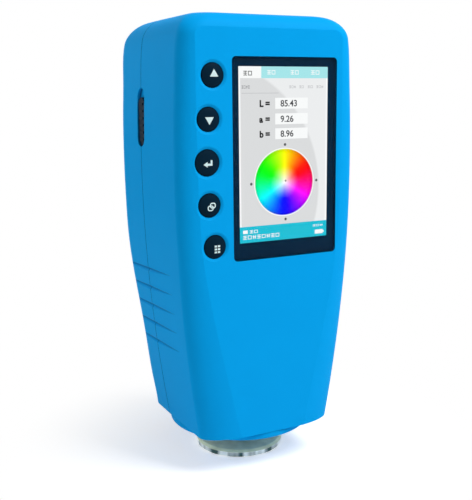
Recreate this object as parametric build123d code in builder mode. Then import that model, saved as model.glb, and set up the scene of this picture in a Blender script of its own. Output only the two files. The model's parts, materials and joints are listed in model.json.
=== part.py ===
"""Hand-held colorimeter that stands upright on its measuring ring.

Millimetres. The origin is the centre of the ring's underside, +Z runs up the case, the front face
looks along -Y and +X is to the right of someone who faces it.
"""
from build123d import *
import os
from math import acos, asin, cos, degrees, pi, radians, sin, sqrt

os.makedirs("parts", exist_ok=True)

# The case's outside form
body_top = 205.5          # highest point of the case
body_floor = 17.5         # underside of the case, above the ring's underside
half_width = 45.0         # half of the case's width at its widest
widest_height = 142.0     # where the barrel sides are widest
barrel_radius = 720.0     # radius of the barrel sides, seen from the front
front_reach = 35.3        # flat front face, ahead of the ring's axis
palm_reach = 43.8         # upper back, behind the ring's axis
grip_reach = 35.4         # lower back, where the hand closes round
palm_low = 109.0          # the back is at palm_reach above this height
grip_high = 52.0          # and at grip_reach below this one
parting_y = 7.5           # plane where the two shells meet
front_draft = 0.024       # how fast the sides draw in towards the front
crown_radius = 11.5       # upper corners, seen from the front
brow_radius = 9.0         # upper front edge
nape_radius = 12.5        # upper back edge
rear_corner = 13.5        # upright back corners
face_half_width = 35.9    # flat face, beside the display
shield_half_width = 18.2  # flat face, at shield_height
shield_height = 22.0
shield_slope = 0.2226     # how fast the flat face widens above shield_height
shield_blend = 5.0        # how softly the slanted edge turns upright
band_depth = 6.5          # front corner bands, front to back
band_growth = 0.17        # extra depth for each millimetre the face is narrower
face_bulge = 0.4          # the rounded form stands this far out before the flat face is cut
roundness = 0.55          # how full the corner curves are
bulge_share = 0.45        # share of a corner band that the flat face cuts away
wall = 2.4
seam = 0.4                # shadow line between the shells
boss_margin = 0.25        # round nose, inside the case's underside outline
boss_bottom = 14.25
boss_edge = 1.0
tongue_depth = 1.8        # inner lip of the back shell, inside the front shell
fit_gap = 0.15            # between pieces that nest

# Display
glass_x = 6.9
glass_z = 143.5
glass_border_x = 1.5      # glass beyond the display's tray
glass_border_z = 2.7
glass_thickness = 1.2
glass_corner = 1.8
glass_sink = 0.1          # glass below the face
lcd_width = 49.0
lcd_height = 82.0
lcd_thickness = 3.3
lcd_gap = 0.1             # behind the glass
bracket_margin_x = 1.0
bracket_margin_z = 7.0
bracket_thickness = 1.2

# Keys in a bowed column
key_count = 5
key_pitch = 18.1
key_column_z = 143.3
key_column_x = -31.1      # the middle key
key_bow_radius = 220.0
key_radius = 4.9
enter_radius = 5.4
key_gap = 0.35
key_dome = 0.7
key_dish = 1.2            # width of the sunk rim round a key
key_travel = 0.6
key_flange = 0.9          # flange beyond the key's radius
flange_thickness = 0.8
stem_radius = 1.6
touch_gap = 0.1           # left between stem and switch at full travel
slack = 0.1               # flange behind the wall

# Switches and boards
board_thickness = 1.2
switch_size = 5.2
switch_height = 1.8
plunger_height = 0.6
plunger_radius = 1.4
keypad_depth = 8.8        # keypad board's front, behind the face
keypad_width = 20.0
main_depth = 15.3         # main board's front, behind the face
main_top = 192.5
main_bottom = 84.0
main_margin = 1.6         # board's sides from the wall
post_radius = 2.6
small_post = 2.0
screw_radius = 0.9
screw_head_radius = 1.7
screw_head_height = 1.1
screw_length = 5.0
short_screw = 4.4
screw_hole_gap = 0.2      # round a screw, in the piece that it clamps
thread_gap = 0.05

# Chips on the main board: x, z, width and height of each
processor = (0.0, 150.0, 14.0, 1.4)
memory = (-20.0, 154.0, 10.0, 1.1)
converter = (-20.0, 136.0, 8.0, 1.1)
charger = (20.0, 120.0, 7.0, 1.0)
buzzer_x = 20.0
buzzer_z = 158.0
buzzer_radius = 6.0
buzzer_height = 4.5
clock_cell_x = -8.0
clock_cell_z = 106.0
clock_cell_radius = 6.2
clock_cell_height = 2.5

# Power slider in its pocket in the left side, across the parting line
slider_z = 161.8          # middle of the pocket
slider_length = 21.9
slider_width = 7.9
slider_thickness = 1.4
slider_travel = 4.0
slider_gap = 0.25         # round the slider, at the ends of its travel
slider_ribs = 6
rib_pitch = 3.2
rib_half_width = 1.8
rib_height = 0.35
pocket_width = 8.6
pocket_depth = 2.0
pocket_floor = 1.4        # thickness of the pocket's floor
floor_margin = 2.0        # floor beyond the pocket
floor_root = 0.85         # how far the floor's root reaches out into the wall
stem_width = 3.0
stem_length = 6.0
clip_width = 7.0          # plate that keeps the slider in its slot
clip_length = 9.6
clip_thickness = 0.8
switch_body_depth = 4.0
switch_body_width = 7.0

# Measuring key in the right side, across the parting line
measure_z = 161.5
measure_length = 20.0
measure_width = 8.6
measure_proud = 0.6
measure_travel = 0.8
measure_stem_radius = 1.8

# Upright boards behind the side keys
side_board_low = 5.0      # board's edge ahead of the parting plane
side_board_high = 7.5     # and behind it
side_post_offset = 18.5
side_post_back = 4.5      # posts, behind the parting plane

# Grip grooves on both sides
groove_count = 5
groove_top_z = 91.5
groove_pitch = 8.9
groove_depth = 0.9        # at the parting plane
groove_width = 2.4        # at the skin, at the parting plane
groove_lean = 0.35        # share of the width that lies above the deepest line
groove_front_y = -19.0    # where a groove fades out
groove_rise = 0.05        # climb for each millimetre forwards
groove_overrun = 2.0      # cutting blade, beyond the skin

# Measuring end
ring_radius = 21.3
ring_rim = 2.4
ring_top = 4.2
aperture_radius = 4.0
aperture_length = 1.2
neck_radius = 11.2
neck_bore = 6.5
neck_flange_radius = 15.5
neck_flange_height = 2.0
spigot_radius = 9.0
spigot_depth = 2.0
sphere_bore = 15.0
sphere_wall = 2.0
sphere_port = 6.0
sphere_flange = 3.5
sphere_flange_height = 2.0
sphere_screw_turn = 30.0    # degrees from +X to the first screw
lamp_count = 3
lamp_radius = 1.6
lamp_angle = 52.0         # from the sphere's top
sensor_tilt = 8.0
sensor_tube_radius = 5.1
sensor_tube_bore = 4.0
sensor_reach = 30.0       # sphere's centre to the sensor board

# Battery
cell_radius = 9.2
cell_length = 65.0
contact_room = 2.5
door_z = 148.0
door_width = 25.0
door_margin = 1.0         # opening beyond the cell and its contacts
holder_wall = 1.6
holder_flange = 2.5
door_screw_room = 5.0

# Charging and data port in the right side
usb_z = 132.0
usb_y = 20.0
usb_width = 7.7
usb_height = 4.0
usb_length = 9.2
usb_wall = 0.4

# Case screws
case_screw_x = 28.0
case_screw_margin = 1.5   # upper bosses, above the display's bracket
case_screw_low = 34.0
case_boss = 4.0
case_screw_radius = 1.3
case_head_radius = 2.6
case_head_height = 2.0
case_floor = 5.0          # plastic under the screw head
insert_radius = 2.0
insert_length = 5.0

# Places worked out from the sizes above
face_y = -front_reach
inner_face_y = face_y + wall
inner_floor = body_floor + wall
palm_inner_y = palm_reach - wall
glass_width = lcd_width + 2 * glass_border_x
glass_height = lcd_height + 2 * glass_border_z


def drawn_in(reach, radius):
    """How far a rounded edge has drawn in, at a given way up its arc."""
    way = min(max(reach, 0.0), radius)
    return radius - sqrt(radius**2 - way**2)


def barrel_half(height):
    """Half of the case's width at the parting plane, without the crown."""
    return half_width - (height - widest_height) ** 2 / (2 * barrel_radius)


def back_y(height):
    """The back's place at a height: grip below, palm above, a smooth step between."""
    step = min(max((height - grip_high) / (palm_low - grip_high), 0.0), 1.0)
    return grip_reach + (palm_reach - grip_reach) * step**2 * (3 - 2 * step)


def face_half(height):
    """Half of the flat face's width: upright above, slanted below, softly joined."""
    slanted = shield_half_width + shield_slope * (height - shield_height)
    apart = face_half_width - slanted
    return (face_half_width + slanted - sqrt(apart**2 + shield_blend**2)) / 2


def body_solid(inset):
    """The case's form, drawn in by inset all round, as one loft from floor to crown."""
    low = body_floor + inset
    shoulder = body_top - crown_radius
    span = shoulder - low
    heights = [low + span * step / 12 for step in range(13)]
    heights += [shoulder + (crown_radius - inset) * sin(pi / 2 * step / 6) for step in range(1, 7)]
    with BuildPart() as solid:
        for height in heights:
            side_in = drawn_in(height - shoulder, crown_radius - inset)
            front_y = face_y - face_bulge + inset
            front_y += drawn_in(height - body_top + brow_radius, brow_radius - inset)
            rear_y = back_y(height) - inset
            rear_y -= drawn_in(height - body_top + nape_radius, nape_radius - inset)
            half = barrel_half(height) - side_in - inset
            band = band_depth + band_growth * (face_half_width - face_half(height)) - 0.6 * inset
            band_half = half - front_draft * (parting_y - front_y - band)
            face_edge = face_half(height) - side_in - 0.35 * inset
            flat = face_edge - bulge_share * (band_half - face_edge)
            width = band_half - flat
            corner = rear_corner - inset
            with BuildSketch(Plane.XY.offset(height)):
                with BuildLine():
                    for side in (1, -1):
                        Bezier(
                            (side * flat, front_y),
                            (side * (flat + roundness * width), front_y),
                            (side * band_half, front_y + (1 - roundness) * band),
                            (side * band_half, front_y + band),
                        )
                        Line((side * band_half, front_y + band), (side * half, parting_y))
                        Line((side * half, parting_y), (side * half, rear_y - corner))
                        Bezier(
                            (side * half, rear_y - corner),
                            (side * half, rear_y - (1 - roundness) * corner),
                            (side * (half - roundness * corner), rear_y),
                            (side * (half - corner), rear_y),
                        )
                    Line((-flat, front_y), (flat, front_y))
                    Line((half - corner, rear_y), (corner - half, rear_y))
                make_face()
        loft()
        split(bisect_by=Plane(origin=(0, face_y + inset, 0), z_dir=(0, 1, 0)), keep=Keep.TOP)
    return solid.part


def between(solid, y_low, y_high):
    """The slice of a solid between two upright planes."""
    with BuildPart() as piece:
        add(solid)
        split(bisect_by=Plane(origin=(0, y_low, 0), z_dir=(0, 1, 0)), keep=Keep.TOP)
        split(bisect_by=Plane(origin=(0, y_high, 0), z_dir=(0, 1, 0)), keep=Keep.BOTTOM)
    return piece.part


def block(low, high):
    """A box between two opposite corners."""
    with BuildPart() as piece:
        with Locations(tuple((a + b) / 2 for a, b in zip(low, high))):
            Box(*[b - a for a, b in zip(low, high)])
    return piece.part


def rod_y(x, z, y_low, y_high, radius):
    """A round bar along Y."""
    with BuildPart() as piece:
        with BuildSketch(Plane.XZ.offset(-y_high)):
            with Locations((x, z)):
                Circle(radius)
        extrude(amount=y_high - y_low)
    return piece.part


def rod_x(y, z, x_low, x_high, radius):
    """A round bar along X."""
    with BuildPart() as piece:
        with BuildSketch(Plane.YZ.offset(x_low)):
            with Locations((y, z)):
                Circle(radius)
        extrude(amount=x_high - x_low)
    return piece.part


def rod_z(x, y, z_low, z_high, radius):
    """A round bar along Z."""
    with BuildPart() as piece:
        with BuildSketch(Plane.XY.offset(z_low)):
            with Locations((x, y)):
                Circle(radius)
        extrude(amount=z_high - z_low)
    return piece.part


def turned(plane, outline):
    """A round piece turned about the plane's own Y axis from (radius, place) points."""
    with BuildPart() as piece:
        with BuildSketch(plane):
            with BuildLine():
                Polyline(*outline, close=True)
            make_face()
        revolve(axis=Axis(plane.origin, plane.y_dir))
    return piece.part


def screw(place, towards, radius, length, head_radius, head_height):
    """A pan-head screw whose head rests at place and whose shank runs towards a direction."""
    with BuildPart() as piece:
        with BuildSketch(Plane(origin=place, z_dir=towards)):
            Circle(radius)
        extrude(amount=length)
        with BuildSketch(Plane(origin=place, z_dir=towards)):
            Circle(head_radius)
        extrude(amount=-head_height)
        outer_rim = piece.edges().filter_by(GeomType.CIRCLE).sort_by(Axis(place, towards))[0]
        fillet(outer_rim, head_height * 0.4)
        slot_plane = Plane(origin=place, z_dir=towards).offset(-head_height)
        with BuildSketch(slot_plane):
            Rectangle(head_radius * 1.3, head_radius * 0.25)
            Rectangle(head_radius * 0.25, head_radius * 1.3)
        extrude(amount=head_height * 0.5, mode=Mode.SUBTRACT)
    return piece.part


def small_screw(place, towards, length):
    """One of the small screws that hold boards and brackets."""
    return screw(place, towards, screw_radius, length, screw_head_radius, screw_head_height)


def on_circle(count, radius, first=90.0):
    """Evenly spread points on a circle, as (x, y), starting at an angle in degrees."""
    turns = [radians(first + 360.0 * step / count) for step in range(count)]
    return [(radius * cos(turn), radius * sin(turn)) for turn in turns]


# Shared places
key_names = ["up_key", "down_key", "enter_key", "back_key", "menu_key"]
key_heights = [key_column_z + key_pitch * ((key_count - 1) / 2 - step) for step in range(key_count)]
key_places = [(key_column_x + (z - key_column_z) ** 2 / (2 * key_bow_radius), z) for z in key_heights]
key_radii = [enter_radius if name == "enter_key" else key_radius for name in key_names]
keypad_y = face_y + keypad_depth
keypad_x = key_column_x + 1.0
keypad_low = key_heights[-1] - 5.0
keypad_high = key_heights[0] + 5.0
keypad_posts = [
    (key_column_x + keypad_width / 2 - 0.5, (key_heights[0] + key_heights[1]) / 2),
    (key_column_x + keypad_width / 2 - 0.5, (key_heights[3] + key_heights[4]) / 2),
    (key_column_x - 6.4, (key_heights[1] + key_heights[2]) / 2),
    (key_column_x - 6.4, (key_heights[2] + key_heights[3]) / 2),
]
main_y = face_y + main_depth
main_half = barrel_half(main_bottom) - wall - front_draft * (parting_y - main_y) - main_margin
main_post_x = main_half - post_radius
main_posts = [(side * main_post_x, z) for z in (main_top - 3.5, main_bottom + 6.0) for side in (1, -1)]
lcd_front = face_y + glass_sink + glass_thickness + lcd_gap
lcd_back = lcd_front + lcd_thickness
bracket_half_x = lcd_width / 2 + bracket_margin_x
bracket_half_z = lcd_height / 2 + bracket_margin_z
bracket_post_x = lcd_width / 2 - 4.5
bracket_post_z = lcd_height / 2 + bracket_margin_z - 2.6
bracket_posts = [
    (glass_x + across * bracket_post_x, glass_z + up * bracket_post_z)
    for up in (1, -1) for across in (1, -1)
]
case_screw_high = glass_z + bracket_half_z + case_boss + case_screw_margin
case_screws_at = [(side * case_screw_x, z) for z in (case_screw_high, case_screw_low) for side in (1, -1)]
front_edge_y = parting_y - seam / 2
rear_edge_y = parting_y + seam / 2
screw_seat_y = rear_edge_y + case_floor
door_low = door_z - cell_length / 2 - contact_room - door_margin
door_high = door_z + cell_length / 2 + contact_room + holder_wall + door_screw_room
door_height = door_high - door_low
door_middle = (door_high + door_low) / 2
door_screw_z = door_high - 2.5
cell_y = palm_inner_y - 0.4 - cell_radius
pocket_length = slider_length + slider_travel + 2 * slider_gap
pocket_floor_x = barrel_half(slider_z) - pocket_depth
pocket_back_x = pocket_floor_x - pocket_floor
floor_half_z = pocket_length / 2 + floor_margin
floor_half_y = pocket_width / 2 + floor_margin
slider_rest_z = slider_z - slider_travel / 2
slider_back_x = pocket_floor_x + slack
clip_x = pocket_back_x - slack
power_body_x = clip_x - clip_thickness - 2 * slack
power_board_x = power_body_x - switch_body_depth
power_posts = [slider_z - side_post_offset, slider_z + side_post_offset]
measure_wall = barrel_half(measure_z)
measure_flange_x = barrel_half(measure_z + measure_length / 2 + 3.0) - wall - 0.2
measure_stem_x = measure_flange_x - 2.0
measure_tip_x = measure_stem_x - measure_travel - touch_gap
measure_board_x = measure_tip_x - plunger_height - switch_height
measure_posts = [measure_z - side_post_offset, measure_z + side_post_offset]
side_post_y = parting_y + side_post_back
usb_face_x = barrel_half(usb_z)
neck_screw_circle = (spigot_radius + neck_flange_radius) / 2 + 1.4
neck_screw_places = on_circle(3, neck_screw_circle)
sphere_base = inner_floor + neck_flange_height
sphere_z = sphere_base + 1.2 + sphere_bore
sphere_outer = sphere_bore + sphere_wall


def grooves(side):
    """Blades for the grip grooves of one side: deep at the parting plane, fading forwards."""
    forward = parting_y - groove_front_y
    with BuildPart() as blades:
        for step in range(groove_count):
            z = groove_top_z - step * groove_pitch
            skin = barrel_half(z)
            deep = skin - groove_depth
            out = skin + groove_overrun
            back_end = back_y(z) - rear_corner * 0.6
            stations = [
                (groove_front_y, skin - front_draft * forward + 0.05, groove_rise * forward),
                (parting_y, deep, 0.0),
                (back_end, deep + 0.2, groove_rise * (parting_y - back_end)),
            ]
            for pair in zip(stations, stations[1:]):
                for y, tip, rise in pair:
                    opening = groove_width * (out - tip) / groove_depth
                    with BuildSketch(Plane(origin=(0, y, 0), x_dir=(1, 0, 0), z_dir=(0, -1, 0))):
                        with BuildLine():
                            Polyline(
                                (side * tip, z + rise),
                                (side * out, z + rise + groove_lean * opening),
                                (side * out, z + rise - (1 - groove_lean) * opening),
                                close=True,
                            )
                        make_face()
                loft(ruled=True)
    return blades.part


# Tools shared by both shells
mid_body = body_solid(wall / 2 - fit_gap / 2)
inner_body = body_solid(wall)
tap_radius = screw_radius + thread_gap
hole_radius = screw_radius + screw_hole_gap

# Both shells start from one hollow case with its round nose
with BuildPart() as case:
    add(body_solid(0.0))
    with BuildSketch(Plane.XY.offset(boss_bottom)):
        Ellipse(barrel_half(body_floor) - boss_margin, front_reach - boss_margin)
    extrude(amount=body_floor - boss_bottom)
    fillet(case.edges().group_by(Axis.Z)[0], boss_edge)
    neck_hole = rod_z(0, 0, boss_bottom - 1, inner_floor + 1, neck_radius + 0.3)
    neck_taps = [rod_z(x, y, inner_floor - 4.2, inner_floor + 1, tap_radius) for x, y in neck_screw_places]
    add([inner_body, neck_hole, *neck_taps, grooves(1), grooves(-1)], mode=Mode.SUBTRACT)

with BuildPart() as side_slots:
    with BuildSketch(Plane.YZ.offset(-half_width - 2)):
        with Locations((parting_y, slider_z)):
            SlotOverall(pocket_length, pocket_width, rotation=90)
    extrude(amount=wall + 8)
    with BuildSketch(Plane.YZ.offset(half_width + 2)):
        with Locations((parting_y, measure_z)):
            SlotOverall(measure_length + 2 * key_gap, measure_width + 2 * key_gap, rotation=90)
    extrude(amount=-(wall + 8))

# Floor of the slider's pocket: part of the back shell, reaching behind the front shell's wall
root_y = parting_y + pocket_width / 2 + 0.5
stem_room_y = stem_width / 2 + slider_gap
stem_room_z = stem_length / 2 + slider_gap
with BuildPart() as pocket_base:
    base_low = (-pocket_floor_x, parting_y - floor_half_y, slider_z - floor_half_z)
    add(block(base_low, (-pocket_back_x, parting_y + floor_half_y, slider_z + floor_half_z)))
    root_low = (-pocket_floor_x - floor_root, root_y, slider_z - floor_half_z)
    add(block(root_low, (-pocket_back_x, root_y + 4.0, slider_z + floor_half_z)))
    room_low = (-half_width, parting_y - stem_room_y, slider_rest_z - stem_room_z)
    room_high = (-pocket_back_x + 1, parting_y + stem_room_y, slider_rest_z + stem_room_z + slider_travel)
    add(block(room_low, room_high), mode=Mode.SUBTRACT)
with BuildPart() as base_room:
    room_low = tuple(place - fit_gap for place in base_low)
    room_high = (-pocket_back_x + 1, front_edge_y + 1, slider_z + floor_half_z + fit_gap)
    add(block(room_low, room_high))

with BuildPart() as tongue:
    add(body_solid(wall / 2 + fit_gap / 2))
    add(inner_body, mode=Mode.SUBTRACT)
tongue_ring = between(tongue.part, front_edge_y - tongue_depth, rear_edge_y + 1.0)
rebate = between(mid_body, front_edge_y - tongue_depth - fit_gap, rear_edge_y)

# Front shell
with BuildPart() as front_posts:
    add([rod_y(x, z, face_y, front_edge_y, case_boss) for x, z in case_screws_at])
    add([rod_y(x, z, face_y, lcd_back, post_radius) for x, z in bracket_posts])
    add([rod_y(x, z, face_y, keypad_y, small_post) for x, z in keypad_posts])
    add([rod_y(x, z, face_y, main_y, post_radius) for x, z in main_posts])
    add(mid_body, mode=Mode.INTERSECT)
with BuildPart() as front_holes:
    add([rod_y(x, z, face_y + 1.4, lcd_back + 1, tap_radius) for x, z in bracket_posts])
    add([rod_y(x, z, keypad_y - 4.4, keypad_y + 1, tap_radius) for x, z in keypad_posts])
    add([rod_y(x, z, main_y - 5.0, main_y + 1, tap_radius) for x, z in main_posts])
    for (x, z), radius in zip(key_places, key_radii):
        add(rod_y(x, z, inner_face_y, inner_face_y + 4.0, radius + key_flange + 0.3))
    insert_hole = insert_radius + 0.02
    for x, z in case_screws_at:
        add(rod_y(x, z, front_edge_y - insert_length - 4.0, front_edge_y + 1, insert_hole))
with BuildPart() as front_shell:
    add(case.part)
    split(bisect_by=Plane(origin=(0, front_edge_y, 0), z_dir=(0, 1, 0)), keep=Keep.BOTTOM)
    add(rebate, mode=Mode.SUBTRACT)
    add(front_posts.part)
    add([front_holes.part, side_slots.part, base_room.part], mode=Mode.SUBTRACT)
    with BuildSketch(Plane.XZ.offset(front_reach)):
        with Locations((glass_x, glass_z)):
            pocket_width = glass_width + 2 * fit_gap
            pocket_height = glass_height + 2 * fit_gap
            RectangleRounded(pocket_width, pocket_height, glass_corner + fit_gap)
    extrude(amount=-(glass_sink + glass_thickness), mode=Mode.SUBTRACT)
    with BuildSketch(Plane.XZ.offset(front_reach)):
        with Locations((glass_x, glass_z)):
            Rectangle(lcd_width + 2 * fit_gap, lcd_height + 2 * fit_gap)
    extrude(amount=-(wall + 0.5), mode=Mode.SUBTRACT)
    for (x, z), radius in zip(key_places, key_radii):
        with Locations(Plane.XZ.offset(front_reach).location * Location((x, z, 0))):
            CounterSinkHole(
                radius=radius + key_gap,
                counter_sink_radius=radius + key_gap + key_dish,
                depth=wall + 0.5,
                counter_sink_angle=130,
            )
front_shell.part.label = "front_shell"
export_step(front_shell.part, "parts/front_shell.step")

# Rear shell
with BuildPart() as rear_posts:
    add([rod_y(x, z, rear_edge_y, palm_reach, case_boss) for x, z in case_screws_at])
    add([rod_x(side_post_y, z, -half_width, -power_board_x, small_post) for z in power_posts])
    add([rod_x(side_post_y, z, measure_board_x, half_width, small_post) for z in measure_posts])
    add(mid_body, mode=Mode.INTERSECT)
with BuildPart() as rear_holes:
    add([neck_hole, *neck_taps])
    for x, z in case_screws_at:
        add(rod_y(x, z, rear_edge_y - 4, screw_seat_y + 1, case_screw_radius + 0.2))
        add(rod_y(x, z, front_edge_y - tongue_depth - fit_gap, front_edge_y, insert_radius + fit_gap))
        add(rod_y(x, z, screw_seat_y, palm_reach + 2, case_head_radius + 0.4))
    for z in power_posts:
        add(rod_x(side_post_y, z, -power_board_x - short_screw, -power_board_x + 1, tap_radius))
    for z in measure_posts:
        add(rod_x(side_post_y, z, measure_board_x - 1, measure_board_x + short_screw, tap_radius))
with BuildPart() as rear_shell:
    add(case.part)
    split(bisect_by=Plane(origin=(0, rear_edge_y, 0), z_dir=(0, 1, 0)), keep=Keep.TOP)
    add([tongue_ring, rear_posts.part])
    add([rear_holes.part, side_slots.part], mode=Mode.SUBTRACT)
    add(pocket_base.part)
    with BuildSketch(Plane.XZ.offset(-(palm_inner_y - 1))):
        with Locations((0, door_middle)):
            RectangleRounded(door_width, door_height, 2.0)
    extrude(amount=-(wall + 3), mode=Mode.SUBTRACT)
    with BuildSketch(Plane.YZ.offset(usb_face_x - wall - 1)):
        with Locations((usb_y, usb_z)):
            RectangleRounded(usb_height + 2 * fit_gap, usb_width + 2 * fit_gap, 0.8)
    extrude(amount=wall + 4, mode=Mode.SUBTRACT)
rear_shell.part.label = "rear_shell"
export_step(rear_shell.part, "parts/rear_shell.step")

# Battery door: it lies flush in the back, on the battery holder's flange
with BuildPart() as battery_door:
    with BuildSketch(Plane.XZ.offset(-palm_inner_y)):
        with Locations((0, door_middle)):
            door_gap = 2 * fit_gap
            RectangleRounded(door_width - door_gap, door_height - door_gap, 2.0 - fit_gap)
    extrude(amount=-wall)
    fillet(battery_door.edges().group_by(Axis.Y)[-1], 0.4)
    add(rod_y(0, door_screw_z, palm_inner_y - 1, palm_reach + 1, 1.1), mode=Mode.SUBTRACT)
    add(rod_y(0, door_screw_z, palm_reach - 1.2, palm_reach + 1, 2.1), mode=Mode.SUBTRACT)
    grip_lines = [door_low + 7 + 2.0 * step for step in range(5)]
    add([rod_x(palm_reach + 0.3, z, -7, 7, 0.7) for z in grip_lines], mode=Mode.SUBTRACT)
battery_door.part.label = "battery_door"
export_step(battery_door.part, "parts/battery_door.step")

# Battery holder: an open trough behind the door, its flange on the back wall
holder_half_x = cell_radius + 0.4 + holder_wall
holder_half_z = cell_length / 2 + contact_room + holder_wall
holder_front_y = cell_y - cell_radius - 0.3 - holder_wall
holder_back_y = palm_inner_y - 0.1
with BuildPart() as battery_holder:
    holder_low = (-holder_half_x, holder_front_y, door_z - holder_half_z)
    add(block(holder_low, (holder_half_x, holder_back_y, door_z + holder_half_z)))
    flange_x = door_width / 2 + holder_flange
    flange_low = (-flange_x, holder_back_y - holder_wall, door_low - holder_flange)
    add(block(flange_low, (flange_x, holder_back_y, door_high + holder_flange)))
    inside_x = cell_radius + 0.4
    inside_z = cell_length / 2 + contact_room
    hollow_low = (-inside_x, cell_y - cell_radius - 0.3, door_z - inside_z)
    add(block(hollow_low, (inside_x, palm_inner_y + 1, door_z + inside_z)), mode=Mode.SUBTRACT)
    add(rod_y(0, door_screw_z, palm_inner_y - 5, palm_inner_y + 1, 1.0), mode=Mode.SUBTRACT)
battery_holder.part.label = "battery_holder"
export_step(battery_holder.part, "parts/battery_holder.step")

with BuildPart() as door_screw:
    add(screw((0, palm_reach - 1.2, door_screw_z), (0, -1, 0), 0.95, 3.0, 1.8, 0.9))
door_screw.part.label = "door_screw"
export_step(door_screw.part, "parts/door_screw.step")

# Battery cell with its raised positive end
with BuildPart() as battery_cell:
    cell_low = door_z - cell_length / 2
    add(rod_z(0, cell_y, cell_low, cell_low + cell_length - 1.0, cell_radius))
    fillet(battery_cell.edges().filter_by(GeomType.CIRCLE), 0.8)
    add(rod_z(0, cell_y, cell_low + cell_length - 1.5, cell_low + cell_length, 3.0))
battery_cell.part.label = "battery_cell"
export_step(battery_cell.part, "parts/battery_cell.step")

# Battery contacts: a bent leaf between each end of the cell and the holder
with BuildPart() as battery_contacts:
    for end in (1, -1):
        outer = door_z + end * (cell_length / 2 + contact_room)
        inner = door_z + end * cell_length / 2
        with BuildSketch(Plane.YZ.offset(-3.0)):
            with BuildLine():
                Polyline(
                    (cell_y - 6.0, outer),
                    (cell_y + 6.0, outer),
                    (cell_y + 6.0, outer - end * 0.4),
                    (cell_y - 3.0, outer - end * 0.4),
                    (cell_y + 1.5, inner),
                    (cell_y + 0.8, inner),
                    (cell_y - 6.0, outer - end * 1.0),
                    close=True,
                )
            make_face()
        extrude(amount=6.0)
battery_contacts.part.label = "battery_contacts"
export_step(battery_contacts.part, "parts/battery_contacts.step")

# Cover glass, flush in its pocket
with BuildPart() as display_glass:
    with BuildSketch(Plane.XZ.offset(front_reach - glass_sink)):
        with Locations((glass_x, glass_z)):
            RectangleRounded(glass_width, glass_height, glass_corner)
    extrude(amount=-glass_thickness)
    fillet(display_glass.edges().group_by(Axis.Y)[0], 0.15)
display_glass.part.label = "display_glass"
export_step(display_glass.part, "parts/display_glass.step")

# Colour display: a tray with its panel, behind the glass
with BuildPart() as lcd_module:
    low = (glass_x - lcd_width / 2, lcd_front, glass_z - lcd_height / 2)
    high = (glass_x + lcd_width / 2, lcd_back, glass_z + lcd_height / 2)
    add(block(low, high))
    chamfer(lcd_module.edges().group_by(Axis.Y)[0], 0.3)
lcd_module.part.label = "lcd_module"
export_step(lcd_module.part, "parts/lcd_module.step")

# Bracket that clamps the display against the front shell
with BuildPart() as lcd_bracket:
    with BuildSketch(Plane.XZ.offset(-lcd_back)):
        with Locations((glass_x, glass_z)):
            RectangleRounded(2 * bracket_half_x, 2 * bracket_half_z, 3.0)
        with Locations(*bracket_posts):
            Circle(hole_radius, mode=Mode.SUBTRACT)
        with Locations((glass_x, glass_z)):
            RectangleRounded(lcd_width - 16, lcd_height - 24, 3.0, mode=Mode.SUBTRACT)
    extrude(amount=-bracket_thickness)
lcd_bracket.part.label = "lcd_bracket"
export_step(lcd_bracket.part, "parts/lcd_bracket.step")

with BuildPart() as lcd_screws:
    for x, z in bracket_posts:
        add(small_screw((x, lcd_back + bracket_thickness, z), (0, -1, 0), short_screw))
lcd_screws.part.label = "lcd_screws"
export_step(lcd_screws.part, "parts/lcd_screws.step")

# Five keys: a domed cap, a flange behind the wall and a stem to the switch
key_tip_y = keypad_y - switch_height - plunger_height
for name, (x, z), radius in zip(key_names, key_places, key_radii):
    flange_front = inner_face_y + slack
    flange_back = flange_front + flange_thickness
    stem_end = key_tip_y - key_travel - touch_gap
    with BuildPart() as key:
        with BuildSketch(Plane(origin=(x, 0, z), x_dir=(1, 0, 0), z_dir=(0, 0, 1))):
            with BuildLine():
                rim = (radius, face_y + 0.3)
                middle = (radius * 0.55, face_y + 0.3 - key_dome * 0.78)
                ThreePointArc((0, face_y + 0.3 - key_dome), middle, rim)
                Polyline(
                    rim,
                    (radius, flange_front),
                    (radius + key_flange, flange_front),
                    (radius + key_flange, flange_back),
                    (stem_radius, flange_back),
                    (stem_radius, stem_end),
                    (0, stem_end),
                    (0, face_y + 0.3 - key_dome),
                )
            make_face()
        revolve(axis=Axis((x, 0, z), (0, 1, 0)))
    key.part.label = name
    export_step(key.part, f"parts/{name}.step")

# Keypad board with a tact switch behind each key
with BuildPart() as keypad_board:
    with BuildSketch(Plane.XZ.offset(-keypad_y)):
        with Locations((keypad_x, (keypad_low + keypad_high) / 2)):
            RectangleRounded(keypad_width, keypad_high - keypad_low, 1.5)
        with Locations(*keypad_posts):
            Circle(hole_radius, mode=Mode.SUBTRACT)
    extrude(amount=-board_thickness)
keypad_board.part.label = "keypad_board"
export_step(keypad_board.part, "parts/keypad_board.step")

with BuildPart() as key_switches:
    for x, z in key_places:
        half = switch_size / 2
        add(block((x - half, keypad_y - switch_height, z - half), (x + half, keypad_y, z + half)))
        add(rod_y(x, z, key_tip_y, keypad_y - switch_height, plunger_radius))
key_switches.part.label = "key_switches"
export_step(key_switches.part, "parts/key_switches.step")

with BuildPart() as keypad_screws:
    for x, z in keypad_posts:
        add(small_screw((x, keypad_y + board_thickness, z), (0, -1, 0), short_screw))
keypad_screws.part.label = "keypad_screws"
export_step(keypad_screws.part, "parts/keypad_screws.step")

# Main board on its four posts
with BuildPart() as main_board:
    with BuildSketch(Plane.XZ.offset(-main_y)):
        with Locations((0, (main_top + main_bottom) / 2)):
            RectangleRounded(2 * main_half, main_top - main_bottom, 2.0)
        with Locations(*main_posts):
            Circle(hole_radius, mode=Mode.SUBTRACT)
    extrude(amount=-board_thickness)
main_board.part.label = "main_board"
export_step(main_board.part, "parts/main_board.step")
main_back_y = main_y + board_thickness

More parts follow.
